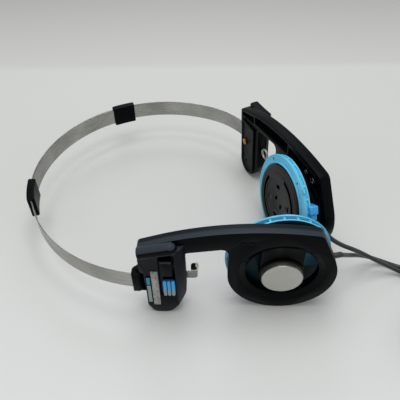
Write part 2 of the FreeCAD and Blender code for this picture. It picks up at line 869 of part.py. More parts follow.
def make_slider():
    body = new_body("near_slider", near_arm)
    back = size.cover_depth - size.channel_depth + size.slider_play
    left = size.channel_left - size.slider_play
    plate = sketch_on(body, "slider_plate", "XZ_Plane", back + size.slider_thickness)
    draw_outline(plate, [
        (-left, size.slider_low, 0.6),
        (-left + size.slider_width, size.slider_low, 0.6),
        (-left + size.slider_width, size.slider_high, 0.6),
        (-left, size.slider_high, 0.6),
    ])
    pad(body, plate, size.slider_thickness)
    lip = sketch_on(body, "slider_lip", "XZ_Plane", back + size.slider_thickness + 0.8)
    draw_outline(lip, [
        (-left + 0.2, size.slider_high - 1.8),
        (-left + size.slider_width - 0.2, size.slider_high - 1.8),
        (-left + size.slider_width - 0.2, size.slider_high - 0.1, 0.5),
        (-left + 0.2, size.slider_high - 0.1, 0.5),
    ])
    pad(body, lip, 1.2)
    return body


def make_grip():
    body = new_body("near_grip", near_arm)
    back = size.cover_depth - size.channel_depth + size.slider_play + size.slider_thickness
    left = size.channel_left - size.slider_play - 0.3
    plate = sketch_on(body, "grip_plate", "XZ_Plane", back + size.grip_thickness)
    draw_outline(plate, [
        (-left, size.grip_low, 1.4),
        (-left + size.grip_width, size.grip_low, 1.4),
        (-left + size.grip_width, size.grip_high, 0.5),
        (-left, size.grip_high, 0.5),
    ])
    pad(body, plate, size.grip_thickness)
    pitch = (size.grip_width - size.grip_rib_width - 0.8) / 2
    for index in range(3):
        x = -left + 0.4 + pitch * index
        rib = sketch_on(body, "rib", "XZ_Plane", back + size.grip_thickness + size.grip_rib_height)
        draw_outline(rib, [
            (x, size.grip_low + 1.6, 0.4),
            (x + size.grip_rib_width, size.grip_low + 1.6, 0.4),
            (x + size.grip_rib_width, size.grip_high - 2.6, 0.4),
            (x, size.grip_high - 2.6, 0.4),
        ])
        pad(body, rib, size.grip_rib_height + 0.2)
    return body


def make_plate(name, left, right, low, high):
    body = new_body(name, near_arm)
    plate = sketch_on(body, name + "_outline", "XZ_Plane", size.cover_depth + size.plate_thickness)
    draw_outline(plate, [
        (-left, low, 0.3),
        (-right, low, 0.3),
        (-right, high, 0.3),
        (-left, high, 0.3),
    ])
    pad(body, plate, size.plate_thickness)
    return body


def make_temple_plate():
    body = new_body("near_temple_plate", near_arm)
    outline = sketch_on(body, "plate_outline", "XZ_Plane",
                        -(size.arm_depth + size.temple_plate_thickness))
    half = (size.temple_plate_left - size.temple_plate_right) / 2
    draw_outline(outline, [
        (-size.temple_plate_left, size.temple_plate_low, half * 0.96),
        (-size.temple_plate_right, size.temple_plate_low, half * 0.96),
        (-size.temple_plate_right, size.temple_plate_high, 1.0),
        (-size.temple_plate_left, size.temple_plate_high, 1.0),
    ])
    pad(body, outline, size.temple_plate_thickness, inwards=False)
    panel = sketch_on(body, "plate_panel", "XZ_Plane",
                      -(size.arm_depth + size.temple_plate_thickness))
    rim = 1.3
    draw_outline(panel, [
        (-(size.temple_plate_left - rim), size.temple_plate_low + rim, (half - rim) * 0.96),
        (-(size.temple_plate_right + rim), size.temple_plate_low + rim, (half - rim) * 0.96),
        (-(size.temple_plate_right + rim), size.temple_plate_high - rim, 0.8),
        (-(size.temple_plate_left - rim), size.temple_plate_high - rim, 0.8),
    ])
    pocket(body, panel, 0.5, inwards=False)
    slots = sketch_on(body, "plate_slots", "XZ_Plane",
                      -(size.arm_depth + size.temple_plate_thickness))
    left = size.temple_plate_left
    low = size.temple_plate_low
    for inset, rise, height in ((2.0, 9.8, 1.8), (5.4, 6.6, 2.2)):
        draw_outline(slots, [
            (-(left - inset), low + rise),
            (-(left - inset - 1.2), low + rise),
            (-(left - inset - 1.2), low + rise + height),
            (-(left - inset), low + rise + height),
        ])
    draw_circle(slots, -size.rivet_x, size.rivet_height, size.rivet_radius * 0.5)
    pocket(body, slots, size.temple_plate_thickness + 0.1, inwards=False)
    return body


def make_rivet():
    body = new_body("near_rivet", near_arm)
    body.Placement = near_arm * frame(-size.rivet_x.number, 0, size.rivet_height.number)
    profile = sketch_on(body, "rivet_profile", "XY_Plane")
    head = size.arm_depth + size.temple_plate_thickness - 0.5
    draw_outline(profile, [
        (0, size.arm_depth),
        (size.rivet_radius * 0.5, size.arm_depth),
        (size.rivet_radius * 0.5, head),
        (size.rivet_radius, head),
        (size.rivet_radius, head + 0.9, 0.5),
        (0, head + 0.9),
    ])
    revolve(body, profile)
    return body


def make_badge():
    body = new_body("near_badge", near_arm)
    body.Placement = near_arm * frame(0, 0, size.badge_height.number)
    profile = sketch_on(body, "badge_profile", "XY_Plane")
    draw_outline(profile, [
        (0, -size.badge_proud),
        (size.badge_radius, -size.badge_proud, size.badge_edge),
        (size.badge_radius, size.hub_front),
        (0, size.hub_front),
    ])
    revolve(body, profile)
    return body


# Latch: a steel tongue with a hook on the near arm, a ring on the far one

def make_tongue():
    body = new_body("latch_tongue", near_arm)
    outline = sketch_on(body, "tongue_outline", "XZ_Plane", -size.tongue_seat)
    draw_outline(outline, [
        (-size.tongue_root, size.tongue_low),
        (-size.tongue_end, size.tongue_low, 1.8),
        (-size.tongue_end, size.hook_top),
        (-(size.tongue_end + size.hook_width), size.hook_top),
        (-(size.tongue_end + size.hook_width), size.tongue_high, 0.8),
        (-size.tongue_root, size.tongue_high),
    ])
    pad(body, outline, size.strip_thickness)
    return body


def make_hook_cap():
    body = new_body("latch_hook_cap", near_arm)
    fit = size.pin_clearance
    middle = size.tongue_end + size.hook_width / 2
    front = size.tongue_seat + (size.strip_thickness - size.cap_thickness) / 2
    low = size.hook_top - 1.4
    outline = sketch_on(body, "cap_outline", "XZ_Plane", -front)
    draw_outline(outline, [
        (-(middle + size.cap_width / 2), low, 0.6),
        (-(middle - size.cap_width / 2), low, 0.6),
        (-(middle - size.cap_width / 2), low + size.cap_height, 1.2),
        (-(middle + size.cap_width / 2), low + size.cap_height, 1.2),
    ])
    pad(body, outline, size.cap_thickness)
    slot = sketch_on(body, "cap_slot", "XZ_Plane", -(size.tongue_seat - fit))
    half = size.hook_width / 2 + fit * 2
    draw_outline(slot, [
        (-(middle + half), low - 0.5),
        (-(middle - half), low - 0.5),
        (-(middle - half), size.hook_top + fit * 2),
        (-(middle + half), size.hook_top + fit * 2),
    ])
    pocket(body, slot, size.strip_thickness + fit * 2)
    return body


def make_latch_ring():
    body = new_body("latch_ring", far_arm)
    outline = sketch_on(body, "ring_section", "XY_Plane")
    draw_circle(outline, size.latch_ring_radius, 0, size.latch_wire)
    revolve(body, outline)
    body.Placement = far_arm * frame(-size.latch_ring_x.number, -size.latch_ring_depth.number,
                                     size.latch_ring_height.number)
    reach = size.lobe_right - size.latch_ring_x
    stem = sketch_on(body, "ring_stem", "YZ_Plane", -reach)
    draw_circle(stem, 0, 0, size.latch_wire)
    pad(body, stem, reach - size.latch_ring_radius, inwards=False)
    return body


# Hinge block at each end of the band

def make_block():
    body = new_body("near_hinge_block", near_arm)
    low = size.knuckle_low + size.lug_thickness + size.lug_gap
    high = size.knuckle_high - size.lug_thickness - size.lug_gap
    right = size.pin_x - size.knuckle_radius + size.hinge_play
    outline = sketch_on(body, "block_outline", "XY_Plane", low)
    draw_outline(outline, [
        (-right, size.pin_y - size.knuckle_radius, size.knuckle_radius * 0.98),
        (-right, size.pin_y + size.knuckle_radius, size.knuckle_radius * 0.98),
        (-size.block_left + 1.0, size.pin_y + size.knuckle_radius, 0.8),
        (-size.block_left, size.block_back, 0.8),
        (-size.block_left, -size.block_front, 0.6),
        (-size.pin_x - 0.6, -size.block_front, 0.8),
    ])
    pad(body, outline, high - low, inwards=False)
    slot = sketch_on(body, "strip_slot", "XY_Plane",
                     size.band_height + size.strip_width / 2 + size.strip_seat_play)
    end = size.strip_seat_reach - 0.1
    front = size.strip_seat_front + size.strip_thickness / 2 + size.strip_seat_play
    back = size.strip_seat_front - size.strip_thickness - size.strip_seat_play * 1.5
    draw_outline(slot, [
        (-size.block_left - 1.0, -front),
        (-end, -front),
        (-end, -back),
        (-size.block_left - 1.0, -back),
    ])
    pocket(body, slot, size.strip_width + size.strip_seat_play * 2)
    hole = sketch_on(body, "pin_hole", "XY_Plane", high + 0.5)
    draw_circle(hole, -size.pin_x, size.pin_y, size.pin_radius + size.pin_clearance)
    pocket(body, hole, high - low + 1.0)
    return body


def make_pin():
    body = new_body("near_hinge_pin", near_arm)
    outline = sketch_on(body, "pin_section", "XY_Plane", size.knuckle_low)
    draw_circle(outline, -size.pin_x, size.pin_y, size.pin_radius)
    pad(body, outline, size.knuckle_high - size.knuckle_low, inwards=False)
    return body


# Band: two steel strips that slide along each other in two clips

band_frame = frame(size.band_x.number, 0, 0)


def make_near_strip():
    body = new_body("near_strip", band_frame)
    half = size.strip_thickness / 2
    outline = sketch_on(body, "near_strip_outline", "XY_Plane",
                        size.band_height - size.strip_width / 2)
    draw_sector(outline, near_strip_radius - half, near_strip_radius + half,
                size.near_strip_end, size.near_strip_start)
    pad(body, outline, size.strip_width, inwards=False)
    return body


def make_far_strip():
    body = new_body("far_strip", band_frame)
    half = size.strip_thickness / 2
    low = size.band_height - size.strip_width / 2
    outline = sketch_on(body, "far_strip_outline", "XY_Plane", low)
    draw_sector(outline, far_strip_radius - half, far_strip_radius + half,
                size.far_strip_bend, size.far_strip_end)
    pad(body, outline, size.strip_width, inwards=False)
    bend = sketch_on(body, "far_bend_outline", "XY_Plane", low)
    draw_sector(bend, size.far_bend_radius - half, size.far_bend_radius + half,
                size.far_bend_end, size.far_strip_bend, far_bend_x, far_bend_y)
    pad(body, bend, size.strip_width, inwards=False)
    return body


def make_clip(name, low_angle, high_angle):
    body = new_body(name, band_frame)
    outline = sketch_on(body, name + "_outline", "XY_Plane",
                        size.band_height - size.clip_height / 2)
    draw_sector(outline, size.band_radius - size.clip_depth / 2,
                size.band_radius + size.clip_depth / 2, low_angle, high_angle)
    pad(body, outline, size.clip_height, inwards=False)

    def upright_edge(edge):
        return edge.BoundBox.ZLength > size.clip_height.number - 0.1

    round_edges(body, 0.9, upright_edge)
    slot = sketch_on(body, name + "_slot", "XY_Plane",
                     size.band_height + size.strip_width / 2 + size.clip_clearance)
    reach = size.strip_thickness + size.strip_gap / 2 + size.clip_clearance
    draw_sector(slot, size.band_radius - reach, size.band_radius + reach,
                low_angle - 2.0, high_angle + 2.0)
    pocket(body, slot, size.strip_width + size.clip_clearance * 2)
    return body


# Ear cup

def make_cup_shell():
    body = new_body("near_cup_shell", near_cup)
    front = size.flange_front
    groove_front = front - size.flange_thickness
    groove_back = groove_front - size.groove_width
    back_edge = groove_back - size.back_flange_thickness
    profile = sketch_on(body, "cup_profile", "XY_Plane")
    inside = size.cup_back + size.cup_wall
    draw_outline(profile, [
        (size.neck_radius + 0.1, size.cup_back),
        (size.cup_back_radius, size.cup_back, 3.0),
        (size.back_flange_radius - 2.5, back_edge),
        (size.back_flange_radius, back_edge),
        (size.back_flange_radius, groove_back),
        (size.groove_radius, groove_back),
        (size.groove_radius, groove_front),
        (size.flange_radius, groove_front),
        (size.flange_radius, front, 0.4),
        (size.driver_seat_radius, front),
        (size.driver_seat_radius, groove_back),
        (size.cup_back_radius, inside),
        (size.neck_radius + 0.1, inside),
    ])
    revolve(body, profile)
    rib = sketch_on(body, "cup_rib", "XZ_Plane", -(groove_back - 0.2))
    draw_outline(rib, [
        (size.groove_radius - 0.4, -size.rib_width / 2),
        (size.back_flange_radius - 0.1, -size.rib_width / 2),
        (size.back_flange_radius - 0.1, size.rib_width / 2),
        (size.groove_radius - 0.4, size.rib_width / 2),
    ])
    rib_pad = pad(body, rib, size.groove_width + 0.4)
    pattern_round(body, rib_pad, rib, size.rib_count, True)
    return body


def make_gland():
    body = new_body("near_lead_gland", near_cup)
    top = size.cup_back - 0.05
    outline = sketch_on(body, "gland_outline", "XZ_Plane", -top)
    angle = size.gland_angle
    half = size.gland_half_width

    def spot(radius, side):
        x = radius * cosine(angle) - side * half * sine(angle)
        z = radius * sine(angle) + side * half * cosine(angle)
        return x, z

    draw_outline(outline, [
        spot(size.gland_inner, 1) + (1.2,),
        spot(size.gland_inner, -1) + (1.2,),
        spot(size.gland_outer, -1) + (1.0,),
        spot(size.gland_outer, 1) + (1.0,),
    ])
    pad(body, outline, size.gland_thickness, inwards=False)
    return body


def make_driver_plate():
    body = new_body("near_driver_plate", near_cup)
    face = size.flange_front + size.driver_plate_proud
    back = face - size.driver_plate_thickness
    profile = sketch_on(body, "driver_profile", "XY_Plane")
    draw_outline(profile, [
        (0, back),
        (size.driver_plate_radius - size.driver_skirt, back),
        (size.driver_plate_radius - size.driver_skirt, size.flange_front - 1.3),
        (size.driver_plate_radius, size.flange_front - 1.3),
        (size.driver_plate_radius, face, 0.7),
        (size.plate_step_radius, face),
        (size.plate_step_radius - 0.7, face - size.plate_step),
        (size.plate_middle_radius, face - size.plate_step),
        (size.plate_middle_radius - 0.6, face - size.plate_step * 2),
        (0, face - size.plate_step * 2),
    ])
    revolve(body, profile)
    arc_slot = sketch_on(body, "arc_slot", "XZ_Plane", -(face + 0.2))
    draw_sector(arc_slot, size.slot_radius - size.slot_width / 2,
                size.slot_radius + size.slot_width / 2,
                -size.slot_half_angle, size.slot_half_angle)
    cut = pocket(body, arc_slot, size.driver_plate_thickness + 0.6, inwards=False)
    pattern_round(body, cut, arc_slot, 4, False)
    short_slot = sketch_on(body, "short_slot", "XZ_Plane", -(face + 0.2))
    draw_sector(short_slot, size.short_slot_radius - 0.7, size.short_slot_radius + 0.7,
                45 - size.short_slot_half_angle, 45 + size.short_slot_half_angle)
    cut = pocket(body, short_slot, size.driver_plate_thickness + 0.6, inwards=False)
    pattern_round(body, cut, short_slot, 4, False)
    hole = sketch_on(body, "plate_hole", "XZ_Plane", -(face + 0.2))
    draw_circle(hole, 2.6, 2.6, 0.7)
    cut = pocket(body, hole, size.driver_plate_thickness + 0.6, inwards=False)
    pattern_round(body, cut, hole, 4, False)
    return body


def make_disc(name, place, profile_points):
    body = new_body(name, place)
    profile = sketch_on(body, name + "_profile", "XY_Plane")
    draw_outline(profile, profile_points)
    revolve(body, profile)
    return body


def make_driver_inside():
    floor = size.cup_back + size.cup_wall
    flange_top = floor + size.stud_flange_thickness
    magnet_low = flange_top + 0.05
    magnet_high = magnet_low + size.magnet_thickness
    magnet = make_disc("near_magnet", near_cup, [
        (0, magnet_low),
        (size.magnet_radius, magnet_low, 0.3),
        (size.magnet_radius, magnet_high),
        (0, magnet_high),
    ])
    basket_low = size.flange_front - 1.3 - size.basket_thickness
    basket = make_disc("near_basket", near_cup, [
        (size.magnet_radius + 0.05, basket_low - 0.4),
        (size.driver_plate_radius - 1.0, basket_low),
        (size.driver_plate_radius - 1.0, basket_low + size.basket_thickness),
        (size.magnet_radius + 0.05, basket_low + size.basket_thickness - 0.4),
    ])
    film_low = magnet_high + 0.25
    film = make_disc("near_diaphragm", near_cup, [
        (0, film_low + 0.3),
        (4.0, film_low + 0.25),
        (size.diaphragm_radius - 2.0, film_low),
        (size.diaphragm_radius, film_low),
        (size.diaphragm_radius, film_low + size.diaphragm_thickness),
        (size.diaphragm_radius - 2.0, film_low + size.diaphragm_thickness),
        (4.0, film_low + 0.25 + size.diaphragm_thickness),
        (0, film_low + 0.3 + size.diaphragm_thickness),
    ])
    return [magnet, basket, film]


def make_ball_stud():
    body = new_body("near_ball_stud", near_cup)
    ball = body.newObject("PartDesign::AdditiveSphere", "ball")
    ball.setExpression("Radius", size.ball_radius.formula)
    body.Tip = ball
    document.recompute()
    neck = sketch_on(body, "neck_profile", "XY_Plane")
    floor = size.cup_back + size.cup_wall
    draw_outline(neck, [
        (0, 0),
        (size.neck_radius, 0),
        (size.neck_radius, floor),
        (size.stud_flange_radius, floor),
        (size.stud_flange_radius, floor + size.stud_flange_thickness),
        (0, floor + size.stud_flange_thickness),
    ])
    revolve(body, neck)
    flat = sketch_on(body, "ball_flat", "XZ_Plane", 2.9)
    draw_circle(flat, 0, 0, 5.0)
    pocket(body, flat, 2.0, inwards=False)
    return body


def make_ball_ring(name, place, outer, inner, low, high, square):
    """A ring with a hollow ball inside; its outside is a ball too, or straight."""
    body = new_body(name, place)
    if square:
        ring = sketch_on(body, name + "_wall", "XZ_Plane", low)
        draw_circle(ring, 0, 0, outer)
        pad(body, ring, low + high)
    else:
        ball = body.newObject("PartDesign::AdditiveSphere", name + "_ball")
        ball.setExpression("Radius", as_size(outer).formula)
        body.Tip = ball
        document.recompute()
        for label, offset, inwards in (("back", low, False), ("front", -high, True)):
            side = sketch_on(body, f"{name}_{label}", "XZ_Plane", offset)
            draw_circle(side, 0, 0, as_size(outer) + 1.0)
            pocket(body, side, as_size(outer), inwards=inwards)
    hollow = body.newObject("PartDesign::SubtractiveSphere", name + "_hollow")
    hollow.setExpression("Radius", as_size(inner).formula)
    body.Tip = hollow
    document.recompute()
    return body


# Cords: straight runs joined by tangent arcs, and a wound coil

near_lead_route = [
    (83.445, -3.91, 26.34),
    (84.293, -3.211, 26.378),
    (85.085, -2.443, 26.412),
]
near_lead_end_route = [
    (85.128, -2.401, 26.413),
    (86.093, -1.465, 26.455),
    (86.75, -0.45, 26.0),
    (87.35, 0.95, 24.75),
    (88.1, 3.4, 22.6),
    (89.4, 7.9, 18.6),
    (91.0, 13.2, 14.3),
    (93.2, 18.3, 10.2),
    (96.2, 22.7, 6.6),
    (100.2, 25.9, 3.8),
    (105.0, 28.0, 2.1),
    (109.9, 29.3, 1.35),
    (114.2, 29.8, 2.2),
    (118.0, 29.8, 2.2),
]
far_lead_route = [
    (69.366, 5.483, 32.979),
    (70.211, 4.862, 33.313),
    (71.001, 4.172, 33.655),
]
far_lead_middle_route = [
    (71.044, 4.134, 33.673),
    (72.007, 3.293, 34.089),
    (73.25, 2.62, 33.95),
    (75.0, 2.35, 32.95),
    (77.4, 2.75, 30.95),
    (80.9, 4.3, 27.5),
    (84.8, 7.4, 23.5),
    (89.0, 11.4, 19.6),
    (93.2, 14.6, 16.2),
    (95.4, 15.9, 14.55),
]
far_lead_end_route = [
    (95.4, 15.9, 14.55),
    (97.6, 17.2, 12.9),
    (102.2, 20.1, 9.4),
    (106.7, 22.9, 6.0),
    (110.7, 25.2, 3.4),
    (114.4, 26.2, 2.2),
    (118.0, 26.2, 2.2),
]
main_lead_route = [
    (137.15, 28.0, 2.2),
    (142.0, 28.2, 1.7),
    (149.6, 26.6, 1.3),
    (156.6, 21.8, 1.4),
    (161.6, 14.2, 1.8),
    (163.4, 6.4, 2.0),
    (163.4, 0.0, 2.0),
]
plug_lead_route = [
    (161.7, 0.0, 11.15),
    (161.7, -6.6, 11.15),
    (163.2, -13.0, 9.3),
    (162.2, -19.8, 6.0),
    (159.3, -26.2, 3.45),
    (157.6, -32.4, 3.45),
]


def arc_between(start, start_direction, end):
    """The arc that leaves a point in a direction and ends at another point."""
    chord = end - start
    across = chord - start_direction * chord.dot(start_direction)
    across.normalize()
    radius = chord.dot(chord) / (2 * chord.dot(across))
    centre = start + across * radius
    middle = (start - centre) + (end - centre)
    middle.normalize()
    return Part.Arc(start, centre + middle * radius, end).toShape()


def cord_path(name, route):
    points = [Vector(*point) for point in route]
    edges = []
    radii = []
    last = points[0]
    for before, point, after in zip(points, points[1:], points[2:]):
        arriving = point - before
        leaving = after - point
        shorter = min(arriving.Length, leaving.Length)
        half_turn = arriving.getAngle(leaving) / 2
        reach = 0.45 * shorter
        radii.append(reach / math.tan(half_turn))
        arriving.normalize()
        leaving.normalize()
        start = point - arriving * reach
        end = point + leaving * reach
        edges.append(Part.LineSegment(last, start).toShape())
        edges.append(arc_between(start, arriving, end))
        last = end
    edges.append(Part.LineSegment(last, points[-1]).toShape())
    print(f"{name}: radii", [round(radius, 1) for radius in radii])
    return Part.Wire(edges)


def swept_cord(name, path, diameter):
    first = path.Edges[0]
    start = first.valueAt(first.FirstParameter)
    along = first.tangentAt(first.FirstParameter)
    section = Part.Wire(Part.Circle(start, along, diameter / 2).toShape())
    solid = path.makePipeShell([section], True, False)
    if solid.Volume < 0:
        solid.reverse()
    expected = math.pi * diameter ** 2 / 4 * path.Length
    print(f"{name}: length {path.Length:.1f}, volume {solid.Volume:.1f} for {expected:.1f}")
    item = document.addObject("Part::Feature", name)
    item.Label = name
    item.Shape = solid
    parts.append(item)
    return item


def coil_wire():
    """Layers that spiral in and out, with a climb where the spiral turns back."""
    centre = Vector(size.coil_x.number, size.coil_y.number, 0)
    step = size.cord_diameter.number + size.coil_gap.number
    layer_step = size.cord_diameter.number + size.coil_layer_gap.number
    height = size.tie_thickness.number + 0.1 + size.cord_diameter.number / 2
    radius = size.coil_outer_radius.number
    per_layer = int(round(2 * size.coil_turns.number))
    layers = int(size.coil_layers.number)
    inward = -1
    side = 1
    edges = []

    def spot(across, sideways, up):
        return centre + Vector(across, sideways, up)

    for layer in range(layers):
        count = per_layer - 1 if layer == layers - 1 else per_layer
        for _ in range(count):
            wider = radius + inward * step / 2
            start = spot(side * radius, 0, height)
            end = spot(-side * wider, 0, height)
            middle = (start + end) * 0.5 + Vector(0, -side * (radius + wider) / 2, 0)
            edges.append(arc_between(start, Vector(0, -side, 0), middle))
            edges.append(arc_between(middle, Vector(-side, 0, 0), end))
            radius = wider
            side = -side
        if layer < layers - 1:
            rise = layer_step / 2
            start = spot(side * radius, 0, height)
            top = spot(0, -side * math.hypot(radius, rise), height + rise)
            end = spot(-side * radius, 0, height + layer_step)
            edges.append(arc_between(start, Vector(0, -side, 0), top))
            chord = top - start
            chord.normalize()
            leaving = chord * (2 * chord.dot(Vector(0, -side, 0))) - Vector(0, -side, 0)
            edges.append(arc_between(top, leaving, end))
            height += layer_step
            side = -side
            inward = -inward
    return Part.Wire(edges)


def least_gap(wire, diameter, spacing=0.8):
    """The least clear distance between stretches that aren't neighbours."""
    count = int(wire.Length / spacing)
    points = wire.discretize(Number=count)
    skip = int(3 * diameter / spacing)
    least = 1e9
    for i, point in enumerate(points):
        for other in points[i + skip:]:
            least = min(least, point.distanceToPoint(other))
    return least - diameter


def make_splitter():
    body = new_body("lead_splitter", frame(size.splitter_x.number, size.splitter_y.number, 0))
    outline = sketch_on(body, "splitter_outline", "XY_Plane")
    half = size.splitter_width / 2
    draw_outline(outline, [
        (0, -half, 1.2),
        (size.splitter_length * 0.55, -half, 3.0),
        (size.splitter_length, -half * 0.55),
        (size.splitter_length, half * 0.55),
        (size.splitter_length * 0.55, half, 3.0),
        (0, half, 1.2),
    ])
    pad(body, outline, size.splitter_height, inwards=False)
    high = size.splitter_height.number

    def flat_edge(edge):
        return edge.BoundBox.ZLength < 0.01 and edge.BoundBox.XMin > 0.01

    round_edges(body, size.splitter_height * 0.24, flat_edge)
    relief = sketch_on(body, "splitter_relief", "YZ_Plane", size.splitter_length - 1.0)
    draw_circle(relief, 0, size.splitter_height / 2, size.cord_diameter / 2 + 0.5)
    pad(body, relief, 4.0, inwards=False)
    return body


def make_tie():
    body = new_body("cord_tie", frame(size.coil_x.number, size.coil_y.number, 0))
    step = size.cord_diameter + size.coil_gap
    layer_step = size.cord_diameter + size.coil_layer_gap
    outer = size.coil_outer_radius + size.cord_diameter / 2 + 0.35
    inner = size.coil_outer_radius - step * size.coil_turns - size.cord_diameter / 2 - 0.75
    top = size.tie_thickness + 0.1 + size.cord_diameter + layer_step * (size.coil_layers - 1) + 0.15
    wall = size.tie_thickness
    loop = sketch_on(body, "tie_loop", "YZ_Plane", -size.tie_width / 2)
    draw_outline(loop, [
        (-(outer + wall), 0, 1.6),
        (-(inner - wall), 0, 1.6),
        (-(inner - wall), top + wall, 1.6),
        (-(outer + wall), top + wall, 1.6),
    ])
    pad(body, loop, size.tie_width, inwards=False)
    inside = sketch_on(body, "tie_inside", "YZ_Plane", size.tie_width / 2 + 0.5)
    draw_outline(inside, [
        (-outer, wall, 0.9),
        (-inner, wall, 0.9),
        (-inner, top, 0.9),
        (-outer, top, 0.9),
    ])
    pocket(body, inside, size.tie_width + 1.0)
    return body


plug_end = Vector(*plug_lead_route[-1])
plug_way = plug_end - Vector(*plug_lead_route[-2])
plug_heading = math.degrees(math.atan2(plug_way.y, plug_way.x)) - 90.0
plug_frame = Placement(plug_end, Rotation(about_z, plug_heading))


def make_plug():
    body = new_body("plug_body", plug_frame)
    profile = sketch_on(body, "plug_profile", "XY_Plane")
    draw_outline(profile, [
        (0, 0),
        (size.cord_diameter / 2 + 0.4, 0),
        (size.plug_relief_radius, size.plug_relief_length - 0.6),
        (size.plug_radius, size.plug_relief_length + 0.8, 0.8),
        (size.plug_radius, size.plug_length, 0.6),
        (0, size.plug_length),
    ])
    revolve(body, profile)
    return body


def make_jack():
    body = new_body("plug_jack", plug_frame)
    low = size.plug_length
    tip = low + size.jack_length
    profile = sketch_on(body, "jack_profile", "XY_Plane")
    radius = size.jack_radius
    draw_outline(profile, [
        (0, low),
        (radius, low),
        (radius, low + size.jack_shaft_length),
        (radius - 0.55, tip - 2.4),
        (radius - 0.15, tip - 1.7),
        (0.4, tip),
        (0, tip),
    ])
    revolve(body, profile)
    return body


# Build

arm_shell = make_arm_shell()
both_sides(arm_shell, near_arm, far_arm)
both_sides(make_temple_cover(), near_arm, far_arm)
both_sides(make_slider(), near_arm, far_arm)
both_sides(make_grip(), near_arm, far_arm)
both_sides(make_temple_plate(), near_arm, far_arm)
rivet = make_rivet()
both_sides(rivet, near_arm, far_arm * mirrored(near_arm.inverse() * rivet.Placement))
badge = make_badge()
both_sides(badge, near_arm, far_arm * mirrored(near_arm.inverse() * badge.Placement))
silver = make_plate("near_silver_strip", size.strip_plate_left, size.strip_plate_right,
                    size.strip_plate_low, size.strip_plate_high)
both_sides(silver, near_arm, far_arm)
side_plate = make_plate("near_side_plate", size.side_plate_left, size.side_plate_right,
                        size.side_plate_low, size.side_plate_high)
both_sides(side_plate, near_arm, far_arm)
both_sides(make_block(), near_arm, far_arm)
both_sides(make_pin(), near_arm, far_arm)
parts.append(make_tongue())
parts.append(make_hook_cap())
parts.append(make_latch_ring())
parts.append(make_near_strip())
parts.append(make_far_strip())
parts.append(make_clip("near_clip", size.near_clip_low_angle, size.near_clip_high_angle))
parts.append(make_clip("far_clip", size.far_clip_low_angle, size.far_clip_high_angle))
both_sides(make_cup_shell(), near_cup, far_cup)
both_sides(make_gland(), near_cup, far_cup)
both_sides(make_driver_plate(), near_cup, far_cup)
for piece in make_driver_inside():
    both_sides(piece, near_cup, far_cup)
both_sides(make_ball_stud(), near_cup, far_cup)
liner_outer = size.ball_radius + size.ball_clearance + size.liner_wall
liner = make_ball_ring("near_ball_liner", near_liner, liner_outer,
                       size.ball_radius + size.ball_clearance, 2.6, 1.6, False)
both_sides(liner, near_liner, far_liner)
socket = make_ball_ring("near_socket", near_seat, size.socket_radius,
                        liner_outer + size.ball_clearance, size.socket_back,
                        size.socket_mouth, True)
both_sides(socket, near_seat, far_seat)
lead = size.lead_diameter.number
cord = size.cord_diameter.number
swept_cord("near_lead", cord_path("near_lead", near_lead_route), lead)
swept_cord("near_lead_end", cord_path("near_lead_end", near_lead_end_route), lead)
swept_cord("far_lead", cord_path("far_lead", far_lead_route), lead)
swept_cord("far_lead_middle", cord_path("far_lead_middle", far_lead_middle_route), lead)
swept_cord("far_lead_end", cord_path("far_lead_end", far_lead_end_route), lead)
swept_cord("main_lead", cord_path("main_lead", main_lead_route), cord)
swept_cord("plug_lead", cord_path("plug_lead", plug_lead_route), cord)
coil = coil_wire()
print(f"cord_coil: least gap {least_gap(coil, cord):.2f}")
swept_cord("cord_coil", coil, cord)
parts.append(make_splitter())
parts.append(make_tie())
parts.append(make_plug())
parts.append(make_jack())

document.recompute()
for item in document.Objects:
    if "Invalid" in item.State or "Error" in item.State:
        raise ValueError(f"{item.Label} is {item.State}")
os.makedirs("parts", exist_ok=True)
for part in parts:
    if part.Shape.isNull() or not part.Shape.isValid():
        raise ValueError(f"{part.Label} has a bad shape")
    solids = len(part.Shape.Solids)
    box = part.Shape.optimalBoundingBox(True, False)
    print(f"{part.Label}: {solids} solid, {part.Shape.Volume:.1f} mm3, low {box.ZMin:.2f}")
    part.Shape.exportStep(f"parts/{part.Label}.step")
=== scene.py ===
import json
import math

import bpy
from mathutils import Matrix, Vector


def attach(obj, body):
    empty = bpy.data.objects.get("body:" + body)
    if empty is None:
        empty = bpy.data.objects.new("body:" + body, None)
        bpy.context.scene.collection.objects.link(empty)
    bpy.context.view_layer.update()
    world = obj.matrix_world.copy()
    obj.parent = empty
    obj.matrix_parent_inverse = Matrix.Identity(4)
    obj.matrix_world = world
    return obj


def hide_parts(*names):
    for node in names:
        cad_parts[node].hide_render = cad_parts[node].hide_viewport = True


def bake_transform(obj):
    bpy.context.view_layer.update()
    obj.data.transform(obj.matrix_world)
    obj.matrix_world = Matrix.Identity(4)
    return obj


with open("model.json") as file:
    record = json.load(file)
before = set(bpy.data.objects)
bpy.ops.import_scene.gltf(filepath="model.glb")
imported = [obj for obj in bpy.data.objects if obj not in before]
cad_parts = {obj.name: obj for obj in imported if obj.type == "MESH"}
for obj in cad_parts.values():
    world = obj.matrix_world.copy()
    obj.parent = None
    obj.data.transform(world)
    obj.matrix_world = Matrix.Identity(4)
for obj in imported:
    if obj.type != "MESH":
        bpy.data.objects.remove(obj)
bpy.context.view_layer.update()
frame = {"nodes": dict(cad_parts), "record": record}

nodes = frame["nodes"]
mm = 0.001
sides = ("near", "far")
bpy.ops.object.select_all(action="DESELECT")

# Where things stand. Lengths are in mm here, and become metres where they are used.
stand = {
    "armAngle": 32.4,
    "nearArm": (68.9, -25.5, 0.0),
    "farArm": (57.1, 28.9, 0.264),
    "farLean": 2.8,
    "armDepth": 5.4,
    "cupHeight": 25.6,
    "farCupSetOut": 2.95,
    "nearCup": (7.0, -3.0, 16.0),
    "farCup": (5.6, 8.0, 0.0),
}


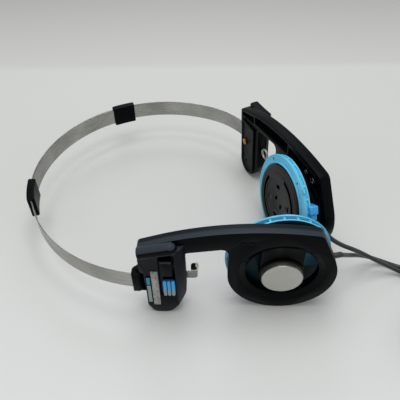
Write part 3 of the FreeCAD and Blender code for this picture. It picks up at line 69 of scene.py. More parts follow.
def turned(degrees, axis):
    return Matrix.Rotation(math.radians(degrees), 4, axis)


flip = Matrix.Diagonal((1, -1, 1, 1))


def armPlace(side):
    # an arm's own frame: x along the arm, y towards the other arm, z up
    base = Matrix.Translation(Vector(stand[side + "Arm"]) * mm)
    if side == "near":
        return base @ turned(stand["armAngle"], "Z")
    return base @ turned(-stand["armAngle"], "Z") @ turned(stand["farLean"], "X") @ flip


def cupPlace(side):
    # a cup's own frame: the middle of its ball, y out of the driver's face
    turn, tip, spin = stand[side + "Cup"]
    out = stand["armDepth"] + (stand["farCupSetOut"] if side == "far" else 0)
    ball = Matrix.Translation((0, out * mm, stand["cupHeight"] * mm))
    return armPlace(side) @ ball @ turned(turn, "Z") @ turned(tip, "X") @ turned(spin, "Y")


# The camera, as the photograph was taken
camera = {
    "place": (0.1104, -0.1514, 0.2000),
    "forward": (-0.3997, 0.5867, -0.7043),
    "roll": -0.72,
    "focal": 42.57,
    "sensor": 36,
    "nearest": 0.01,
}
forward = Vector(camera["forward"]).normalized()
level = forward.cross(Vector((0, 0, 1))).normalized()
over = level.cross(forward)
roll = math.radians(camera["roll"])
right = level * math.cos(roll) + over * math.sin(roll)
above = over * math.cos(roll) - level * math.sin(roll)
lens = bpy.data.cameras.new("photoCamera")
lens.lens = camera["focal"]
lens.sensor_width = camera["sensor"]
lens.clip_start = camera["nearest"]
eye = bpy.data.objects.new("photoCamera", lens)
bpy.context.scene.collection.objects.link(eye)
eyeTurn = Matrix((right, above, -forward)).transposed().to_4x4()
eye.matrix_world = Matrix.Translation(camera["place"]) @ eyeTurn
bpy.context.scene.camera = eye
print("camera set")

# The cords: their routes' own points, in mm
cords = {
    "leadDiameter": 2.2,
    "cordDiameter": 2.4,
    "bootDiameter": 2.75,
    "bootPoints": 5,
    "stepsAlong": 8,
    "stepsRound": 6,
    "coilX": 145.0,
    "coilY": 0.0,
    "coilRadius": 18.4,
    "coilStep": 1.7,
    "coilLayerStep": 3.05,
    "coilLow": 2.0,
    "coilLayers": 4,
    "halfTurnsPerLayer": 6,
    "pointsPerHalfTurn": 6,
    "nearLead": [
        (83.445, -3.91, 26.34), (84.293, -3.211, 26.378), (85.085, -2.443, 26.412),
        (86.093, -1.465, 26.455), (86.75, -0.45, 26.0), (87.35, 0.95, 24.75), (88.1, 3.4, 22.6),
        (89.4, 7.9, 18.6), (91.0, 13.2, 14.3), (93.2, 18.3, 10.2), (96.2, 22.7, 6.6),
        (100.2, 25.9, 3.8), (105.0, 28.0, 2.1), (109.9, 29.3, 1.35), (114.2, 29.8, 2.2),
        (118.0, 29.8, 2.2),
    ],
    "farLead": [
        (69.366, 5.483, 32.979), (70.211, 4.862, 33.313), (71.001, 4.172, 33.655),
        (72.007, 3.293, 34.089), (73.25, 2.62, 33.95), (75.0, 2.35, 32.95), (77.4, 2.75, 30.95),
        (80.9, 4.3, 27.5), (84.8, 7.4, 23.5), (89.0, 11.4, 19.6), (93.2, 14.6, 16.2),
        (95.4, 15.9, 14.55),
    ],
    "farLeadEnd": [
        (95.4, 15.9, 14.55), (97.6, 17.2, 12.9), (102.2, 20.1, 9.4), (106.7, 22.9, 6.0),
        (110.7, 25.2, 3.4), (114.4, 26.2, 2.2), (118.0, 26.2, 2.2),
    ],
    "mainStart": [
        (137.15, 28.0, 2.2), (142.0, 28.2, 1.7), (149.6, 26.6, 1.3), (156.6, 21.8, 1.4),
        (161.6, 14.2, 1.8), (163.4, 6.4, 2.0),
    ],
    "mainEnd": [
        (161.7, -6.6, 11.15), (163.2, -13.0, 9.3), (162.2, -19.8, 6.0),
        (159.3, -26.2, 3.45), (157.6, -32.4, 3.45),
    ],
}


def coilPoints(c):
    # layers wind in and out, with half a turn of climb where they turn back
    points = []
    radius, height, inward, index = c["coilRadius"], c["coilLow"], -1, 0
    # a curve of order 3 touches its polygon's sides, so its corners lie a little further out
    spread = 1 / math.cos(math.pi / (2 * c["pointsPerHalfTurn"]))
    part = c["pointsPerHalfTurn"]

    def add():
        angle = -math.pi * (index + 0.5) / part
        points.append((
            c["coilX"] + radius * spread * math.cos(angle),
            c["coilY"] + radius * spread * math.sin(angle),
            height,
        ))

    for layer in range(c["coilLayers"]):
        last = layer == c["coilLayers"] - 1
        for _ in range((c["halfTurnsPerLayer"] - last) * part):
            add()
            index += 1
            radius += inward * c["coilStep"] / part
        if not last:
            for _ in range(part):
                height += c["coilLayerStep"] / part / 2
                add()
                height += c["coilLayerStep"] / part / 2
                index += 1
            inward = -inward
    return points


def cordCurve(name, points, diameter):
    # the tube along a route, and the route itself as the points that the bare curve gives
    curve = bpy.data.curves.new(name, "CURVE")
    curve.dimensions = "3D"
    spline = curve.splines.new("NURBS")
    spline.points.add(len(points) - 1)
    for point, place in zip(spline.points, points):
        point.co = (place[0] * mm, place[1] * mm, place[2] * mm, 1)
    spline.order_u = 3
    spline.use_endpoint_u = True
    spline.resolution_u = curve.resolution_u = cords["stepsAlong"]
    curve.bevel_resolution = cords["stepsRound"]
    curve.use_fill_caps = True
    piece = bpy.data.objects.new(name, curve)
    bpy.context.scene.collection.objects.link(piece)
    bare = bpy.data.meshes.new_from_object(piece)
    path = [tuple(v.co) for v in bare.vertices]
    bpy.data.meshes.remove(bare)
    curve.bevel_depth = diameter * mm / 2
    return piece, path


def pathLength(path):
    return sum((Vector(b) - Vector(a)).length for a, b in zip(path, path[1:]))


def only(piece):
    bpy.ops.object.select_all(action="DESELECT")
    piece.select_set(True)
    bpy.context.view_layer.objects.active = piece


def makeTube(name, points, diameter):
    piece, path = cordCurve(name, points, diameter)
    only(piece)
    bpy.ops.object.convert(target="MESH")
    bpy.ops.object.shade_smooth()
    bpy.ops.object.select_all(action="DESELECT")
    return piece, path


def makeLead(name, replaced, points):
    piece, path = makeTube(name, points, cords["leadDiameter"])
    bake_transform(piece)
    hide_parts(*replaced)
    print(name, round(pathLength(path) * 1000, 1), "mm")
    return piece


def makeBoot(name, points, body):
    # the moulded sleeve at a cup's gland, which hides where the lead bends
    piece, _ = makeTube(name, points, cords["bootDiameter"])
    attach(piece, body)
    return piece


nearBoot = makeBoot("nearLeadBoot", cords["nearLead"][:cords["bootPoints"]], "near_cup")
farBoot = makeBoot("farLeadBoot", cords["farLead"][:cords["bootPoints"]], "far_cup")
nearLead = makeLead("nearLeadWire", ("near_lead", "near_lead_end"), cords["nearLead"])
farLead = makeLead("farLeadWire", ("far_lead", "far_lead_middle"), cords["farLead"])
farLeadEnd = makeLead("farLeadEndWire", ("far_lead_end",), cords["farLeadEnd"])

mainPoints = cords["mainStart"] + coilPoints(cords) + cords["mainEnd"]
mainCord, mainPath = makeTube("mainCordWire", mainPoints, cords["cordDiameter"])
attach(mainCord, "headband")
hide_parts("main_lead", "cord_coil", "plug_lead")
print("cords made", round(pathLength(mainPath) * 1000, 1), "mm")


# Materials
def colour(code):
    # sRGB hex to the linear values that the shader reads
    parts = [int(code[i:i + 2], 16) / 255 for i in (1, 3, 5)]
    return tuple(c / 12.92 if c <= 0.04045 else ((c + 0.055) / 1.055) ** 2.4 for c in parts) + (1.0,)


def addNode(tree, kind, settings=None, links=None):
    node = tree.nodes.new("ShaderNode" + kind)
    for name, value in (settings or {}).items():
        if isinstance(name, int) or name in node.inputs:
            node.inputs[name].default_value = value
        else:
            setattr(node, name, value)
    for name, source in (links or {}).items():
        tree.links.new(source, node.inputs[name])
    return node


def newMaterial(name, settings):
    material = bpy.data.materials.new(name)
    material.use_nodes = True
    tree = material.node_tree
    tree.nodes.clear()
    shader = addNode(tree, "BsdfPrincipled", settings)
    addNode(tree, "OutputMaterial", {}, {"Surface": shader.outputs["BSDF"]})
    place = addNode(tree, "TexCoord")
    return material, tree, shader, place.outputs["Object"]


def perMetre(millimetres):
    # a noise texture repeats about once a unit, so its scale is one over the size
    return 1000.0 / millimetres


def mouldedPlastic(name, code, paleCode, roughness, smudge=0.05, grainSize=0.4, grainDepth=0.01,
                   fade=0.12, specular=0.12, smudgeSize=14):
    # Injection moulded: a spark-eroded grain, smudges from handling, paler rubbed edges. The real
    # grain, about 0.05 mm, would not show, so it is drawn several times as coarse.
    material, tree, shader, place = newMaterial(name, {"IOR": 1.53, "Specular IOR Level": specular})
    cloud = addNode(tree, "TexNoise", {"Scale": perMetre(smudgeSize), "Detail": 4.0}, {"Vector": place})
    rough = addNode(tree, "MapRange", {"To Min": roughness - smudge, "To Max": roughness + smudge},
                    {"Value": cloud.outputs["Fac"]})
    tree.links.new(rough.outputs["Result"], shader.inputs["Roughness"])
    geometry = addNode(tree, "NewGeometry")
    # pointiness is about 0.5 on a flat face, and more on an edge
    worn = addNode(tree, "MapRange", {"From Min": 0.53, "From Max": 0.66, "To Max": 0.6},
                   {"Value": geometry.outputs["Pointiness"]})
    tint = addNode(tree, "MapRange", {"From Min": 0.35, "From Max": 0.7, "To Max": fade},
                   {"Value": cloud.outputs["Fac"]})
    both = addNode(tree, "Math", {"operation": "ADD", "use_clamp": True},
                   {0: worn.outputs["Result"], 1: tint.outputs["Result"]})
    mixed = addNode(tree, "Mix", {"data_type": "RGBA", 6: colour(code), 7: colour(paleCode)},
                    {0: both.outputs["Value"]})
    tree.links.new(mixed.outputs[2], shader.inputs["Base Color"])
    grain = addNode(tree, "TexNoise", {"Scale": perMetre(grainSize), "Detail": 2.0}, {"Vector": place})
    bump = addNode(tree, "Bump", {"Strength": 0.4, "Distance": grainDepth * mm},
                   {"Height": grain.outputs["Fac"]})
    tree.links.new(bump.outputs["Normal"], shader.inputs["Normal"])
    return material


def paintedLightPlastic(name, code, lowCode, heights, roughness, smudge=0.06, patch=0.15, patchSize=2.5):
    # painted light: bright where the light falls on the top, and greyer towards its foot as a painted
    # reflection of the pale table
    material, tree, shader, place = newMaterial(name, {"IOR": 1.53, "Specular IOR Level": 0.25})
    apart = addNode(tree, "SeparateXYZ", {}, {"Vector": place})
    cloud = addNode(tree, "TexNoise", {"Scale": perMetre(patchSize), "Detail": 3.0},
                    {"Vector": place})
    rise = addNode(tree, "MapRange", {"From Min": heights[0] * mm, "From Max": heights[1] * mm},
                   {"Value": apart.outputs["Z"]})
    uneven = addNode(tree, "MapRange", {"To Min": -patch, "To Max": patch},
                     {"Value": cloud.outputs["Fac"]})
    both = addNode(tree, "Math", {"operation": "ADD", "use_clamp": True},
                   {0: rise.outputs["Result"], 1: uneven.outputs["Result"]})
    mixed = addNode(tree, "Mix", {"data_type": "RGBA", 6: colour(lowCode), 7: colour(code)},
                    {0: both.outputs["Value"]})
    tree.links.new(mixed.outputs[2], shader.inputs["Base Color"])
    rough = addNode(tree, "MapRange", {"To Min": roughness - smudge, "To Max": roughness + smudge},
                    {"Value": cloud.outputs["Fac"]})
    tree.links.new(rough.outputs["Result"], shader.inputs["Roughness"])
    return material


def paintedTopHighlight(name, code, backCode, roughness, change=(2.3, 3.6), smudge=0.08, smudgeSize=9):
    # the near arm's top: a painted highlight, pale over the front half where the light falls, while the
    # back half keeps the mould's black
    material, tree, shader, place = newMaterial(name, {"IOR": 1.53, "Specular IOR Level": 0.1})
    inward = turned(stand["armAngle"], "Z") @ Vector((0, 1, 0))
    front = Vector(stand["nearArm"]).dot(inward)
    depth = addNode(tree, "VectorMath", {"operation": "DOT_PRODUCT", 1: inward}, {0: place})
    share = addNode(tree, "MapRange", {
        "From Min": (front + change[0]) * mm, "From Max": (front + change[1]) * mm,
    }, {"Value": depth.outputs["Value"]})
    mixed = addNode(tree, "Mix", {"data_type": "RGBA", 6: colour(code), 7: colour(backCode)},
                    {0: share.outputs["Result"]})
    tree.links.new(mixed.outputs[2], shader.inputs["Base Color"])
    cloud = addNode(tree, "TexNoise", {"Scale": perMetre(smudgeSize), "Detail": 4.0},
                    {"Vector": place})
    rough = addNode(tree, "MapRange", {"To Min": roughness - smudge, "To Max": roughness + smudge},
                    {"Value": cloud.outputs["Fac"]})
    tree.links.new(rough.outputs["Result"], shader.inputs["Roughness"])
    return material


def brushedMetal(name, code, darkCode, roughness, lineSize, stretch=(1.0, 1.0, 1.0), depth=0.006,
                 spread=0.1, cloudSize=25):
    # Rolled or brushed: long lines one way, and a roughness that follows them. A small share in
    # stretch draws the lines out along that axis. Real lines are finer, and would not show.
    material, tree, shader, place = newMaterial(name, {"Metallic": 1.0})
    mapping = addNode(tree, "Mapping", {"Scale": stretch}, {"Vector": place})
    lines = addNode(tree, "TexNoise", {"Scale": perMetre(lineSize), "Detail": 4.0, "Roughness": 0.65},
                    {"Vector": mapping.outputs["Vector"]})
    cloud = addNode(tree, "TexNoise", {"Scale": perMetre(cloudSize), "Detail": 2.0}, {"Vector": place})
    rough = addNode(tree, "MapRange", {"To Min": roughness - spread, "To Max": roughness + spread},
                    {"Value": lines.outputs["Fac"]})
    tree.links.new(rough.outputs["Result"], shader.inputs["Roughness"])
    blend = addNode(tree, "Math", {"operation": "MULTIPLY"},
                    {0: lines.outputs["Fac"], 1: cloud.outputs["Fac"]})
    wide = addNode(tree, "MapRange", {"From Min": 0.1, "From Max": 0.42},
                   {"Value": blend.outputs["Value"]})
    mixed = addNode(tree, "Mix", {"data_type": "RGBA", 6: colour(darkCode), 7: colour(code)},
                    {0: wide.outputs["Result"]})
    tree.links.new(mixed.outputs[2], shader.inputs["Base Color"])
    bump = addNode(tree, "Bump", {"Strength": 0.4, "Distance": depth * mm},
                   {"Height": lines.outputs["Fac"]})
    tree.links.new(bump.outputs["Normal"], shader.inputs["Normal"])
    return material


def extrudedJacket(name, code, dustCode, roughness, dustSize=3.0):
    # soft PVC drawn through a die: satin, slightly uneven and dusty, so its light breaks up
    material, tree, shader, place = newMaterial(name, {
        "IOR": 1.54, "Coat Weight": 0.1, "Coat Roughness": 0.35,
    })
    dust = addNode(tree, "TexNoise", {"Scale": perMetre(dustSize), "Detail": 4.0}, {"Vector": place})
    mixed = addNode(tree, "Mix", {"data_type": "RGBA", 6: colour(code), 7: colour(dustCode)},
                    {0: dust.outputs["Fac"]})
    tree.links.new(mixed.outputs[2], shader.inputs["Base Color"])
    rough = addNode(tree, "MapRange", {"To Min": roughness - 0.08, "To Max": roughness + 0.12},
                    {"Value": dust.outputs["Fac"]})
    tree.links.new(rough.outputs["Result"], shader.inputs["Roughness"])
    bump = addNode(tree, "Bump", {"Strength": 0.25, "Distance": 0.02 * mm},
                   {"Height": dust.outputs["Fac"]})
    tree.links.new(bump.outputs["Normal"], shader.inputs["Normal"])
    return material


def wovenNylon(name, code, threadCode, thread, waveTurn=6.28):
    # a hook and loop tie: crossed threads, drawn coarse, that catch the light one by one
    material, tree, shader, place = newMaterial(name, {"Roughness": 0.75, "Sheen Weight": 0.3})
    scale = perMetre(thread) / waveTurn
    warp = addNode(tree, "TexWave", {"Scale": scale, "bands_direction": "X"}, {"Vector": place})
    weft = addNode(tree, "TexWave", {"Scale": scale, "bands_direction": "Z"}, {"Vector": place})
    cross = addNode(tree, "Math", {"operation": "MULTIPLY"},
                    {0: warp.outputs["Fac"], 1: weft.outputs["Fac"]})
    mixed = addNode(tree, "Mix", {"data_type": "RGBA", 6: colour(code), 7: colour(threadCode)},
                    {0: cross.outputs["Value"]})
    tree.links.new(mixed.outputs[2], shader.inputs["Base Color"])
    bump = addNode(tree, "Bump", {"Strength": 0.6, "Distance": 0.1 * mm},
                   {"Height": cross.outputs["Value"]})
    tree.links.new(bump.outputs["Normal"], shader.inputs["Normal"])
    return material


finishes = {
    # the arms: satin, and so black that they hardly mirror the table
    "armAbs": mouldedPlastic("satinMouldedAbsBlack", "#05080a", "#0e1216", 0.36, grainSize=0.35,
                             grainDepth=0.012, fade=0.1, specular=0.045),
    # the temple covers: smoother, with a blue cast and softer lights
    "coverAbs": mouldedPlastic("polishedAbsBlueBlack", "#04070d", "#0f151d", 0.27,
                               grainDepth=0.008, specular=0.08),
    # the insides: dull and slightly green, as an unpolished mould leaves them
    "innerAbs": mouldedPlastic("sparkErodedAbsBlack", "#080c0c", "#151a1a", 0.42, grainSize=0.5,
                               grainDepth=0.014, fade=0.1, specular=0.05),
    # hubs, sliders and sockets: deep black with tight lights
    "glossAbs": mouldedPlastic("glossMouldedAbsBlack", "#030406", "#0c0f12", 0.25, smudge=0.06,
                               grainSize=0.5, grainDepth=0.005, fade=0.14, specular=0.06),
    # the near arm's top: a painted highlight, a grey band along its front edge
    "topHighlightAbs": paintedTopHighlight("paintedHighlightAbsGreyBlue", "#30373e", "#10161c", 0.36),
    # the slider's lip: a paler grey than the tab
    "lipAbs": mouldedPlastic("paleGreyAbsLip", "#22272c", "#3a4148", 0.34, smudge=0.06,
                             grainSize=0.5, grainDepth=0.008, fade=0.5, specular=0.1),
    # the driver's slots: painted shade, so that no light comes back out
    "slotAbs": mouldedPlastic("paintedShadeAbsBlack", "#010101", "#030303", 0.6, grainSize=0.5, fade=0.1,
                              specular=0.02),
    # the cups: clear sky blue, chalky where it is rubbed
    "skyAbs": mouldedPlastic("mouldedAbsSkyBlue", "#56bfe6", "#84d6f2", 0.36, smudge=0.06, fade=0.4),
    # the groove between the flanges: the same blue, deep and out of the light
    "grooveAbs": mouldedPlastic("mouldedAbsDeepTeal", "#17505f", "#2a7284", 0.5, smudge=0.06, fade=0.3),
    # the cups' backs, in the arms' shade
    "backAbs": mouldedPlastic("shadedAbsDarkTeal", "#10262c", "#1c3a44", 0.42, smudge=0.06, fade=0.2),
    # the near gland, half in shade
    "shadeAbs": mouldedPlastic("shadedAbsSteelBlue", "#24485a", "#356378", 0.4, grainDepth=0.008,
                               fade=0.3),
    # the far gland and its block: a stronger blue than the cup's
    "glandAbs": mouldedPlastic("mouldedAbsBrightBlue", "#2f9fe6", "#66c2f6", 0.36, grainDepth=0.008,
                               fade=0.4),
    # the grips' ribs: painted light, bright above and greyed below by a painted reflection of the table
    "gripAbs": paintedLightPlastic("paintedLightGripBlue", "#3fa9ec", "#8a9ea2", (18.6, 21.8), 0.4),
    # the plate under the ribs: painted shade, dark blue lines in the gaps between them
    "gripBaseAbs": mouldedPlastic("shadedAbsDeepBlue", "#0c3a63", "#155487", 0.4, grainDepth=0.008,
                                  fade=0.2),
    # the drivers: charcoal with a green cast, and a browner rim
    "driverAbs": mouldedPlastic("mouldedAbsCharcoal", "#1f2524", "#363c3a", 0.42, smudge=0.08,
                                grainSize=0.3, grainDepth=0.014, fade=0.18),
    "driverRimAbs": mouldedPlastic("mouldedAbsBrownBlack", "#2a2526", "#403a39", 0.42, smudge=0.08,
                                   grainSize=0.3, grainDepth=0.014, fade=0.18),
    # the band: rolled steel, with lines along its length that spread the light
    "bandSteel": brushedMetal("rolledSpringSteel", "#b9b9b5", "#82817c", 0.28, 0.35, (0.05, 0.05, 1.0)),
    # the latch's tongue: stamped, duller than the band
    "tongueSteel": brushedMetal("stampedSpringSteel", "#a8a8a4", "#77777a", 0.34, 0.3, (1.0, 1.0, 0.2)),
    # the hinge pins: blackened, dark metal with a faint edge light
    "pinBlack": brushedMetal("blackenedPinSteel", "#35363a", "#1c1d1f", 0.4, 0.3, (1.0, 1.0, 0.1)),
    # the latch's ring: bright drawn wire
    "pinSteel": brushedMetal("drawnSteelWire", "#d0d0cc", "#8f8c88", 0.28, 0.3, (1.0, 1.0, 0.1)),
    # the screws: zinc, a bright spot among the black ribs
    "screwSteel": brushedMetal("zincPlatedScrewSteel", "#d5d6d8", "#8d8e92", 0.24, 0.4),
    # the badges: satin silver, even from every side
    "badgeSilver": brushedMetal("satinAnodisedDisc", "#cbcbc5", "#b4b3ad", 0.42, 0.25, depth=0.004),
    # the silver strips: foil scuffed grey by handling
    "stripSilver": brushedMetal("scuffedLabelFoil", "#c2c2be", "#5d5e5c", 0.4, 1.3, (1.0, 1.0, 0.6),
                                0.004),
    # the rivets: warm yellow metal
    "rivetBrass": brushedMetal("turnedBrass", "#c08a4a", "#7d5a2c", 0.34, 0.3),
    # the side strips' two fields: matte, without lights
    "paleLabel": mouldedPlastic("matteLabelFilm", "#868d8d", "#b9c1c1", 0.5, smudge=0.04,
                                grainSize=0.3, grainDepth=0.004, fade=0.9),
    "tealLabel": mouldedPlastic("tealPrintedFilm", "#2d8fa6", "#55b4c6", 0.45, smudge=0.04,
                                grainSize=0.3, grainDepth=0.004),
    # the latch's wrap: warm off-white, slightly shiny
    "creamAbs": mouldedPlastic("mouldedAbsCream", "#c9c5b6", "#dedbcf", 0.36, grainDepth=0.006),
    # the ball joints: undyed, waxy nylon
    "nylon": mouldedPlastic("naturalNylon", "#c9c4b4", "#dcd8cc", 0.45, grainDepth=0.006),
    # the diaphragms: amber film with a sheen
    "film": mouldedPlastic("speakerFilm", "#4b4235", "#6d604c", 0.25, grainSize=0.8),
    # the jack and the magnets: plated, warm and nearly a mirror
    "nickel": brushedMetal("nickelPlate", "#d6d2c8", "#b7b2a6", 0.2, 0.6, depth=0.003),
    # the jack's rings: black resin between the contacts
    "insulator": mouldedPlastic("jackInsulatorResin", "#0c0c0d", "#222224", 0.35, grainSize=0.5,
                                grainDepth=0.004),
    # the cords, the splitter and the plug: dark grey, with a soft light along the top
    "jacket": extrudedJacket("pvcCordJacket", "#101113", "#2b2d30", 0.38),
    # the tie: black cloth that swallows the light
    "tieNylon": wovenNylon("hookAndLoopTie", "#0d0e10", "#2c2e33", 0.6),
}

# A node takes the finish of the longest of these keys that its name holds
nodeFinish = {
    "arm_shell": "armAbs", "temple_cover": "coverAbs", "slider": "glossAbs", "grip": "gripAbs",
    "temple_plate": "glossAbs", "rivet": "rivetBrass", "badge": "badgeSilver",
    "silver_strip": "stripSilver", "side_plate": "glossAbs", "hinge_block": "armAbs",
    "hinge_pin": "pinBlack", "cup_shell": "skyAbs", "lead_gland": "glandAbs",
    "driver_plate": "driverAbs", "magnet": "nickel", "basket": "glossAbs",
    "diaphragm": "film", "ball_stud": "nylon", "ball_liner": "nylon", "socket": "glossAbs",
    "strip": "bandSteel", "clip": "armAbs", "tongue": "tongueSteel", "hook_cap": "glossAbs",
    "ring": "pinSteel", "splitter": "jacket", "tie": "tieNylon", "plug_body": "jacket",
    "plug_jack": "nickel", "lead": "jacket", "coil": "jacket",
}


def paint(piece, *names):
    piece.data.materials.clear()
    for name in names:
        piece.data.materials.append(finishes[name])


for name, node in nodes.items():
    best = max((key for key in nodeFinish if key in name), key=len)
    paint(node, nodeFinish[best])
for piece in (nearBoot, farBoot, nearLead, farLead, farLeadEnd, mainCord):
    paint(piece, "jacket")
print("materials made")

# The rounded copies of the rigid mouldings
bodies = frame["record"]["behaviour"]["bodies"]
bodyOf = {node: body for body, members in bodies.items() for node in members}


def camel(name):
    return "".join(word.capitalize() if i else word for i, word in enumerate(name.split("_")))


softening = {
    "sharpAngle": 28,
    "smoothAngle": 32,
    "flatAngle": 0.8,
    "mergeDistance": 0.004,
    "spunMergeDistance": 0.003,
}


def softenEdges(piece, width, segments=2):
    # the small radii that a mould leaves on every edge
    only(piece)
    bevel = piece.modifiers.new("mouldRadius", "BEVEL")
    bevel.width = width * mm
    bevel.segments = segments
    bevel.limit_method = "ANGLE"
    bevel.angle_limit = math.radians(softening["sharpAngle"])
    bevel.use_clamp_overlap = True
    bpy.ops.object.modifier_apply(modifier=bevel.name)
    bpy.ops.object.shade_smooth_by_angle(angle=math.radians(softening["smoothAngle"]))
    bpy.ops.object.select_all(action="DESELECT")


def roundedCopy(node, width, finish, segments=2):
    # the copy drops the node's own marks, and its flat faces are joined before the edges are rounded
    piece = nodes[node].copy()
    piece.data = nodes[node].data.copy()
    for key in list(piece.keys()):
        if key.startswith("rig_"):
            del piece[key]
    piece.name = camel(node) + "Moulding"
    piece.parent = None
    bpy.context.scene.collection.objects.link(piece)
    only(piece)
    bpy.ops.object.mode_set(mode="EDIT")
    bpy.ops.mesh.select_all(action="SELECT")
    bpy.ops.mesh.remove_doubles(threshold=softening["mergeDistance"] * mm)
    bpy.ops.mesh.dissolve_limited(angle_limit=math.radians(softening["flatAngle"]))
    bpy.ops.object.mode_set(mode="OBJECT")
    softenEdges(piece, width, segments)
    paint(piece, finish)
    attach(piece, bodyOf[node])
    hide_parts(node)
    return piece


# edge radii in mm, for the parts that both sides have
edgeRadii = {
    "arm_shell": 0.4, "temple_cover": 0.5, "slider": 0.2, "cup_shell": 0.14,
    "lead_gland": 0.3, "temple_plate": 0.15, "hinge_block": 0.3,
    "badge": 0.12, "silver_strip": 0.06, "side_plate": 0.06, "rivet": 0.12,
}
clipRadius = 0.35
# the single parts: node, edge radius, finish and segments
singles = {
    "tongue": ("latch_tongue", 0.08, "tongueSteel", 2),
    "splitter": ("lead_splitter", 0.8, "jacket", 3),
    "tie": ("cord_tie", 0.2, "tieNylon", 2),
}
mouldings = {}
for side in sides:
    for part, width in edgeRadii.items():
        mouldings[side, part] = roundedCopy(f"{side}_{part}", width, nodeFinish[part])
    mouldings[side, "clip"] = roundedCopy(f"{side}_clip", clipRadius, "armAbs", 3)
for part, single in singles.items():
    mouldings[part] = roundedCopy(*single)
print("rounded copies made")


def pickFaces(piece, wanted):
    # selects the faces that the test wants, by middle and normal, and leaves edit mode on
    only(piece)
    bpy.ops.object.mode_set(mode="EDIT")
    bpy.ops.mesh.select_mode(type="FACE")
    bpy.ops.mesh.select_all(action="DESELECT")
    bpy.ops.object.mode_set(mode="OBJECT")
    for face in piece.data.polygons:
        face.select = wanted(face.center, face.normal)
    bpy.ops.object.mode_set(mode="EDIT")


def settle(piece, name, place, body, finish, replaced=()):
    # a piece drawn in a part's own frame goes where that part stands
    piece.name = name
    piece.data.transform(place)
    if place.determinant() < 0:
        piece.data.flip_normals()
    paint(piece, finish)
    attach(piece, body)
    if replaced:
        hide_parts(*replaced)
    bpy.ops.object.select_all(action="DESELECT")


def spun(profile, steps, turn=360):
    # a profile of (radius, along) in mm, drawn point by point and spun about y, from x towards z
    bpy.ops.object.select_all(action="DESELECT")
    bpy.ops.mesh.primitive_plane_add(size=mm)
    piece = bpy.context.object
    bpy.ops.object.mode_set(mode="EDIT")
    bpy.ops.mesh.select_mode(type="VERT")
    bpy.ops.mesh.select_all(action="SELECT")
    bpy.ops.mesh.merge(type="CENTER")
    bpy.ops.transform.translate(value=(profile[0][0] * mm, profile[0][1] * mm, 0))
    for (r0, a0), (r1, a1) in zip(profile, profile[1:]):
        step = ((r1 - r0) * mm, (a1 - a0) * mm, 0)
        bpy.ops.mesh.extrude_vertices_move(TRANSFORM_OT_translate={"value": step})
    bpy.ops.mesh.select_all(action="SELECT")
    bpy.ops.mesh.spin(steps=steps, angle=math.radians(turn), center=(0, 0, 0), axis=(0, 1, 0))
    bpy.ops.mesh.select_all(action="SELECT")
    bpy.ops.mesh.remove_doubles(threshold=softening["spunMergeDistance"] * mm)
    bpy.ops.mesh.normals_make_consistent(inside=False)
    bpy.ops.object.mode_set(mode="OBJECT")
    return piece


def closeEnds(piece):
    # the two open ends that a spin of less than a full turn leaves
    only(piece)
    bpy.ops.object.mode_set(mode="EDIT")
    bpy.ops.mesh.select_all(action="SELECT")
    bpy.ops.mesh.fill_holes(sides=0)
    bpy.ops.mesh.select_all(action="SELECT")
    bpy.ops.mesh.normals_make_consistent(inside=False)
    bpy.ops.object.mode_set(mode="OBJECT")


def slab(left, right, low, high, front, depth, corner):
    # a thin plate in an arm's frame: x from left to right, z from low to high, y from front inwards
    bpy.ops.object.select_all(action="DESELECT")
    bpy.ops.mesh.primitive_plane_add(size=1)
    piece = bpy.context.object
    middle = Matrix.Translation(((left + right) / 2 * mm, front * mm, (low + high) / 2 * mm))
    size = Matrix.Diagonal(((right - left) * mm, (high - low) * mm, 1, 1))
    piece.data.transform(middle @ turned(90, "X") @ size)
    bpy.ops.object.mode_set(mode="EDIT")
    bpy.ops.mesh.select_all(action="SELECT")
    bpy.ops.mesh.bevel(offset=corner * mm, segments=4, affect="VERTICES")
    bpy.ops.mesh.select_all(action="SELECT")
    bpy.ops.mesh.extrude_region_move(TRANSFORM_OT_translate={"value": (0, depth * mm, 0)})
    bpy.ops.mesh.select_all(action="SELECT")
    bpy.ops.mesh.normals_make_consistent(inside=False)
    bpy.ops.object.mode_set(mode="OBJECT")
    return piece


# The arms: what each moulding's own faces show
arm = {
    "dishReach": 20.4,
    "dishDepth": 0.1,
    "topSlope": 0.62,
    "topLow": 36.0,
    "rollLow": 44.2,
    "rollSquash": 0.12,
}


def polishDish(side):
    # the dish round the hub is glossier than the arm's face
    shell = mouldings[side, "arm_shell"]
    shell.data.materials.append(finishes["glossAbs"])
    inverse = armPlace(side).inverted()
    hub = Vector((0, stand["cupHeight"] * mm))
    for face in shell.data.polygons:
        spot = inverse @ face.center
        reach = (Vector((spot.x, spot.z)) - hub).length
        if reach < arm["dishReach"] * mm and spot.y > arm["dishDepth"] * mm:
            face.material_index = 1


def paintTopHighlight(part):
    # the near arm's upward faces get the painted highlight
    piece = mouldings["near", part]
    piece.data.materials.append(finishes["topHighlightAbs"])
    for face in piece.data.polygons:
        if face.normal.z > arm["topSlope"] and face.center.z > arm["topLow"] * mm:
            face.material_index = len(piece.data.materials) - 1


def lowerRoll():
    # the far cover's roll is flatter, and ends in a step behind the arm's corner
    place = armPlace("far")
    inverse = place.inverted()
    low = arm["rollLow"] * mm
    for vertex in mouldings["far", "temple_cover"].data.vertices:
        spot = inverse @ vertex.co
        if spot.z > low:
            spot.z = low + (spot.z - low) * arm["rollSquash"]
            vertex.co = place @ spot


for side in sides:
    polishDish(side)
for part in ("arm_shell", "temple_cover"):
    paintTopHighlight(part)
lowerRoll()
paint(mouldings["far", "temple_cover"], "innerAbs")
paint(mouldings["far", "temple_plate"], "innerAbs")
print("arms dressed")
